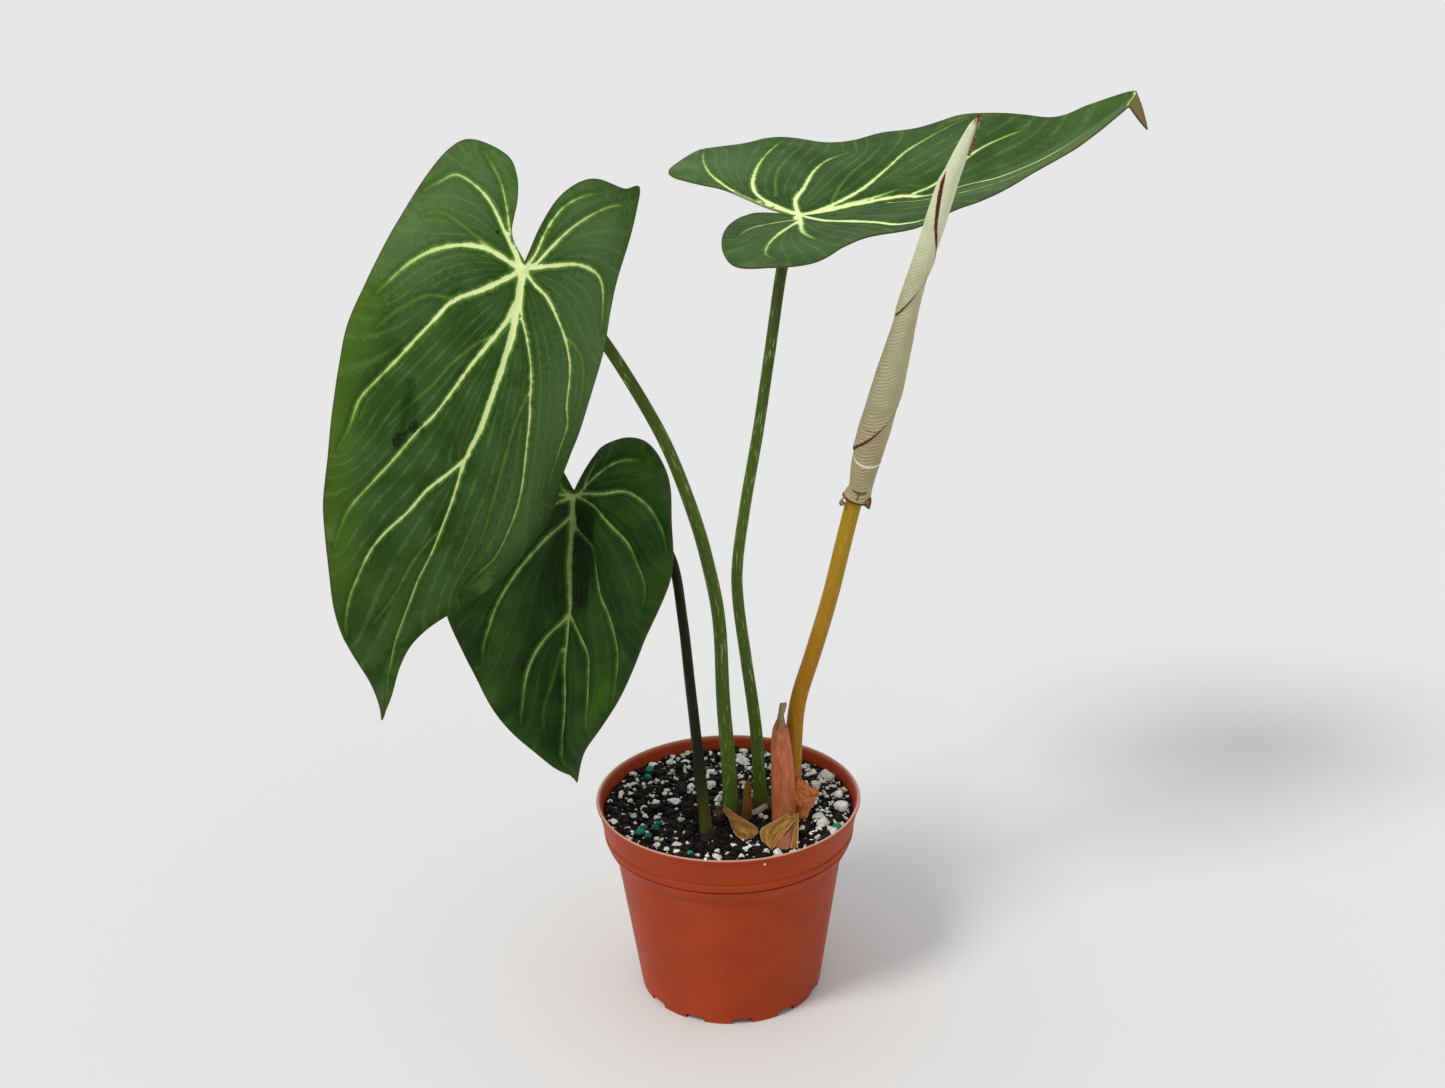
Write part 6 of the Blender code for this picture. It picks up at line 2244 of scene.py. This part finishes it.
STALKS = (
    Petiole("petiole_of_large_leaf", "petiole_large", "petiole", GREEN_STALK, (
        (1.2, -2.5, 72.8), (1.0, -2.4, 79), (0.2, -2, 99), (-1.3, -1, 124.7), (-2.3, 0, 158),
        (-6.5, 0, 183), (-11.7, 0, 203), (-20, 1, 226.6), (-29.4, 3, 245.5), (-42.4, 7, 266.6),
        (-54, 4.5, 283.5), (-63, -4, 294), (-67.5, -15, 299), (-68.4, -25.2, 301.6)),
        (3.1, 2.6, 2.4, 2.2, 2.1)),
    Petiole("petiole_of_upper_leaf", "petiole_upper", "petiole", GREEN_STALK, (
        (12.8, 3, 72.8), (12.6, 3, 79), (11.4, 5.3, 108.4), (8, 7.6, 137.8), (5.2, 9.5, 162.3),
        (5.3, 10.7, 178.4), (8.8, 12.6, 202.2), (13.7, 14.7, 229.4), (18.5, 17, 259.7),
        (23.2, 19.3, 289.8), (26.8, 20.1, 301), (29.8, 20.5, 307.0)), (2.6, 2.3, 2.15, 2.1, 2.1)),
    Petiole("petiole_of_small_leaf", "petiole_small", "dark_petiole", DARK_STALK, (
        (-8.6, -19.6, 72.0), (-8.8, -19.6, 78), (-11.7, -19, 116.6), (-13.8, -18.5, 141.7),
        (-15.9, -17.5, 165.9), (-19.4, -15, 189), (-29, -8, 202.5), (-40, -3, 209.5),
        (-49.3, -6, 211.6), (-53.8, -13.2, 213.4)), (2.3, 2.0, 1.85, 1.75), 0.2, 0.3),
    Petiole("petiole_of_new_leaf", "petiole_new", "young_petiole", YOUNG_STALK, (
        (25, -2, 72.8), (25.2, -2, 79), (26.1, -2.5, 107.5), (27.9, -3.5, 125.3),
        (33.3, -4.5, 144.8), (39.4, -5.5, 167.9), (44.4, -7, 190.7), (48.1, -8, 206.9),
        (49.3, -8.3, 212.0)), (3.5, 3.2, 3.1, 3.0), 0.1, 0.3))

FLAPS = (
    TornFlap("dry_tip_of_cataphyll", None, "bract", GREY_TIP, (
        ((18.5, -11.0, 117.8), (20.6, -13.4, 118.0), (22.7, -11.0, 117.8)),
        ((19.4, -10.8, 122.0), (20.8, -12.0, 122.4), (22.1, -10.8, 122.2)),
        ((20.0, -10.4, 125.6), (21.4, -11.4, 125.9), (22.8, -10.4, 125.7)),
        ((20.5, -10.2, 127.6), (21.8, -11.0, 128.0), (23.1, -10.2, 127.7))), 0.25, 0.05,
        thickness=0.4, seed=27.0, rows=40, columns=20),
    TornFlap("dry_flap_front", "dry_sheath_front", "dry_bract", DRY_BRACT, (
        ((-1.8, -11.0, 83.3), (-1.8, -11.5, 83.0), (-1.8, -12.0, 82.8)),
        ((2.8, -13.0, 81.3), (1.4, -16.5, 82.2), (0.3, -17.0, 80.7)),
        ((5.1, -14.5, 80.3), (3.5, -19.5, 80.6), (1.6, -20.2, 77.3)),
        ((7.6, -16.0, 79.4), (6.0, -22.0, 79.6), (3.9, -24.7, 76.9)),
        ((9.9, -18.0, 78.4), (8.7, -22.6, 78.3), (6.8, -25.5, 76.9)),
        ((11.8, -20.8, 77.2), (11.0, -23.0, 77.3), (9.6, -24.9, 76.9))),
        0.9, 0.04, 3, seed=4.0),
    TornFlap("dry_flap_middle", "dry_sheath_middle", "dry_bract", DRY_BRACT, (
        ((12.8, -27.1, 76.7), (14.4, -30.2, 76.8), (16.3, -33.3, 76.7)),
        ((12.0, -22.0, 78.4), (15.4, -27.0, 79.0), (19.2, -28.4, 77.4)),
        ((15.3, -19.8, 80.1), (18.2, -24.9, 81.0), (22.2, -26.6, 81.2)),
        ((19.2, -19.2, 82.2), (21.7, -22.8, 82.9), (24.3, -23.7, 82.5)),
        ((23.4, -19.0, 84.5), (25.0, -20.4, 84.4), (26.7, -20.9, 83.7))),
        0.35, 0.06, 6, seed=7.0),
    TornFlap("dry_flap_right", "dry_sheath_right", "dry_bract", RED_BRACT, (
        ((24.3, -7.2, 76.5), (26.6, -8.2, 76.5), (28.7, -9.9, 76.6), (31.0, -9.5, 76.6)),
        ((24.2, -8.9, 84.3), (26.9, -8.9, 83.5), (29.7, -8.5, 81.6), (33.0, -6.2, 79.7)),
        ((24.2, -8.2, 88.6), (27.0, -8.5, 87.8), (30.5, -7.5, 85.4), (35.4, -4.7, 82.4)),
        ((24.7, -7.6, 92.2), (27.0, -8.0, 91.1), (31.0, -6.5, 88.4), (36.5, -3.7, 83.8)),
        ((25.5, -7.0, 95.8), (28.4, -6.8, 93.9), (31.5, -5.0, 89.8), (34.8, -3.6, 86.8))),
        1.1, 0.1, thickness=0.6, seed=9.0, rows=70, columns=60),
    TornFlap("dry_strip_back", "dry_sheath_back", "dry_bract", BROWN_BRACT, (
        ((5.2, -9.0, 76.5), (7.2, -10.6, 76.5), (9.3, -9.0, 76.5)),
        ((5.7, -9.0, 84.0), (7.5, -10.3, 84.0), (9.3, -9.0, 84.0)),
        ((6.1, -9.0, 90.0), (7.7, -10.0, 90.4), (9.2, -9.0, 90.0)),
        ((7.0, -9.0, 93.2), (7.8, -9.4, 94.3), (8.7, -9.0, 93.4))), 0.3, 0.05, seed=12.0),
    TornFlap("pink_stub", "dry_sheath_stub", "bract", DULL_PINK_BRACT, (
        ((17.6, -31.6, 76.4), (20.8, -34.0, 76.4), (23.6, -32.4, 76.4)),
        ((19.6, -26.4, 78.4), (21.9, -28.3, 79.0), (24.2, -26.6, 78.6)),
        ((22.1, -23.0, 80.6), (23.2, -24.2, 81.0), (24.8, -23.2, 80.8)),
        ((23.7, -20.8, 82.6), (24.6, -21.4, 83.0), (25.2, -20.8, 82.8))), 0.25, 0.02,
        thickness=0.7, seed=15.0),
    TornFlap("tan_strip_right", None, "dry_bract", DRY_BRACT, (
        ((23.6, -32.6, 76.4), (24.9, -33.4, 76.4), (26.2, -32.4, 76.4)),
        ((24.3, -25.6, 78.6), (25.5, -26.2, 79.0), (26.7, -25.6, 78.8)),
        ((24.8, -22.4, 81.6), (25.8, -23.0, 82.0), (26.9, -22.4, 82.0)),
        ((25.4, -20.6, 84.9), (26.2, -20.9, 85.4), (27.1, -20.6, 85.3))), 0.2, 0.04, 2,
        thickness=0.4, seed=17.0, columns=16),
    TornFlap("torn_pale_base", None, "rhizome_bark", PALE_FIBRE, (
        ((5.2, -7.2, 78.0), (5.5, -8.0, 76.9)), ((8.2, -6.8, 78.9), (8.5, -8.0, 77.4)),
        ((10.8, -6.0, 79.6), (11.3, -7.3, 77.9)), ((13.7, -4.6, 80.6), (14.4, -5.8, 79.0)),
        ((15.6, -3.8, 81.2), (16.1, -5.2, 80.0))), 0.5, 0.1, seed=21.0, rows=40, columns=12),
    TornFlap("black_scale_left", None, "rhizome_bark", BLACK_BRACT, (
        ((-10.6, -23.4, 79.0), (-10.9, -25.6, 76.8)), ((-8.4, -24.0, 79.6), (-8.3, -26.4, 76.8)),
        ((-5.8, -22.6, 80.2), (-5.2, -24.6, 76.8)), ((-4.4, -19.8, 80.0), (-2.6, -20.6, 76.8))),
        0.5, 0.08, seed=24.0, rows=44, columns=16))


def clearances() -> tuple[list[Point], list[Point]]:
    """List where lumps stay away, and where the ground is level.

    Returns:
        Both lists, as (x, y, radius).
    """
    flap_top, seat_top = 82, 78
    stalk_room, flap_room, bract_room, seat_room, rhizome_room = 0.8, 1.4, 5.2, 3.0, 1.6
    away = [(s.path[1][0], s.path[1][1], s.radii[0] + stalk_room) for s in STALKS]
    away += [(x, y, flap_room) for flap in FLAPS for row in flap.grid for x, y, z in row if z < flap_top]
    away += [(*Bract.foot[:2], bract_room)]
    level = [(x, y, seat_room) for flap in FLAPS for x, y, z in flap.grid[0] if z < seat_top]
    level += [(x, y, r + rhizome_room) for (x, y, _), r in zip(Rhizome.path, Rhizome.radii)]
    return away, level


def main() -> None:
    """Build the pot, the mix, the plant and the studio."""
    logging.basicConfig(level=logging.INFO, format="%(name)s %(message)s")
    pot = NurseryPot()
    pot.build()
    away, level = clearances()
    mix = PottingMix(pot, away, level)
    mix.build_ground()
    mix.build_lumps(Lump.PERLITE, PERLITE)
    mix.build_lumps(Lump.CRUMB, BARK)
    mix.build_lumps(Lump.PELLET, PELLET)
    mix.build_rim_specks()
    Rhizome().build()
    for stalk in STALKS:
        stalk.build()
    for blade in (FRONT_LEAF, UPPER_LEAF, SMALL_LEAF):
        blade.build()
    Droplets(FRONT_LEAF).build()
    RolledLeaf().build()
    Bract().build()
    for flap in FLAPS:
        flap.build()
    Studio().build()


if __name__ == "__main__":
    main()
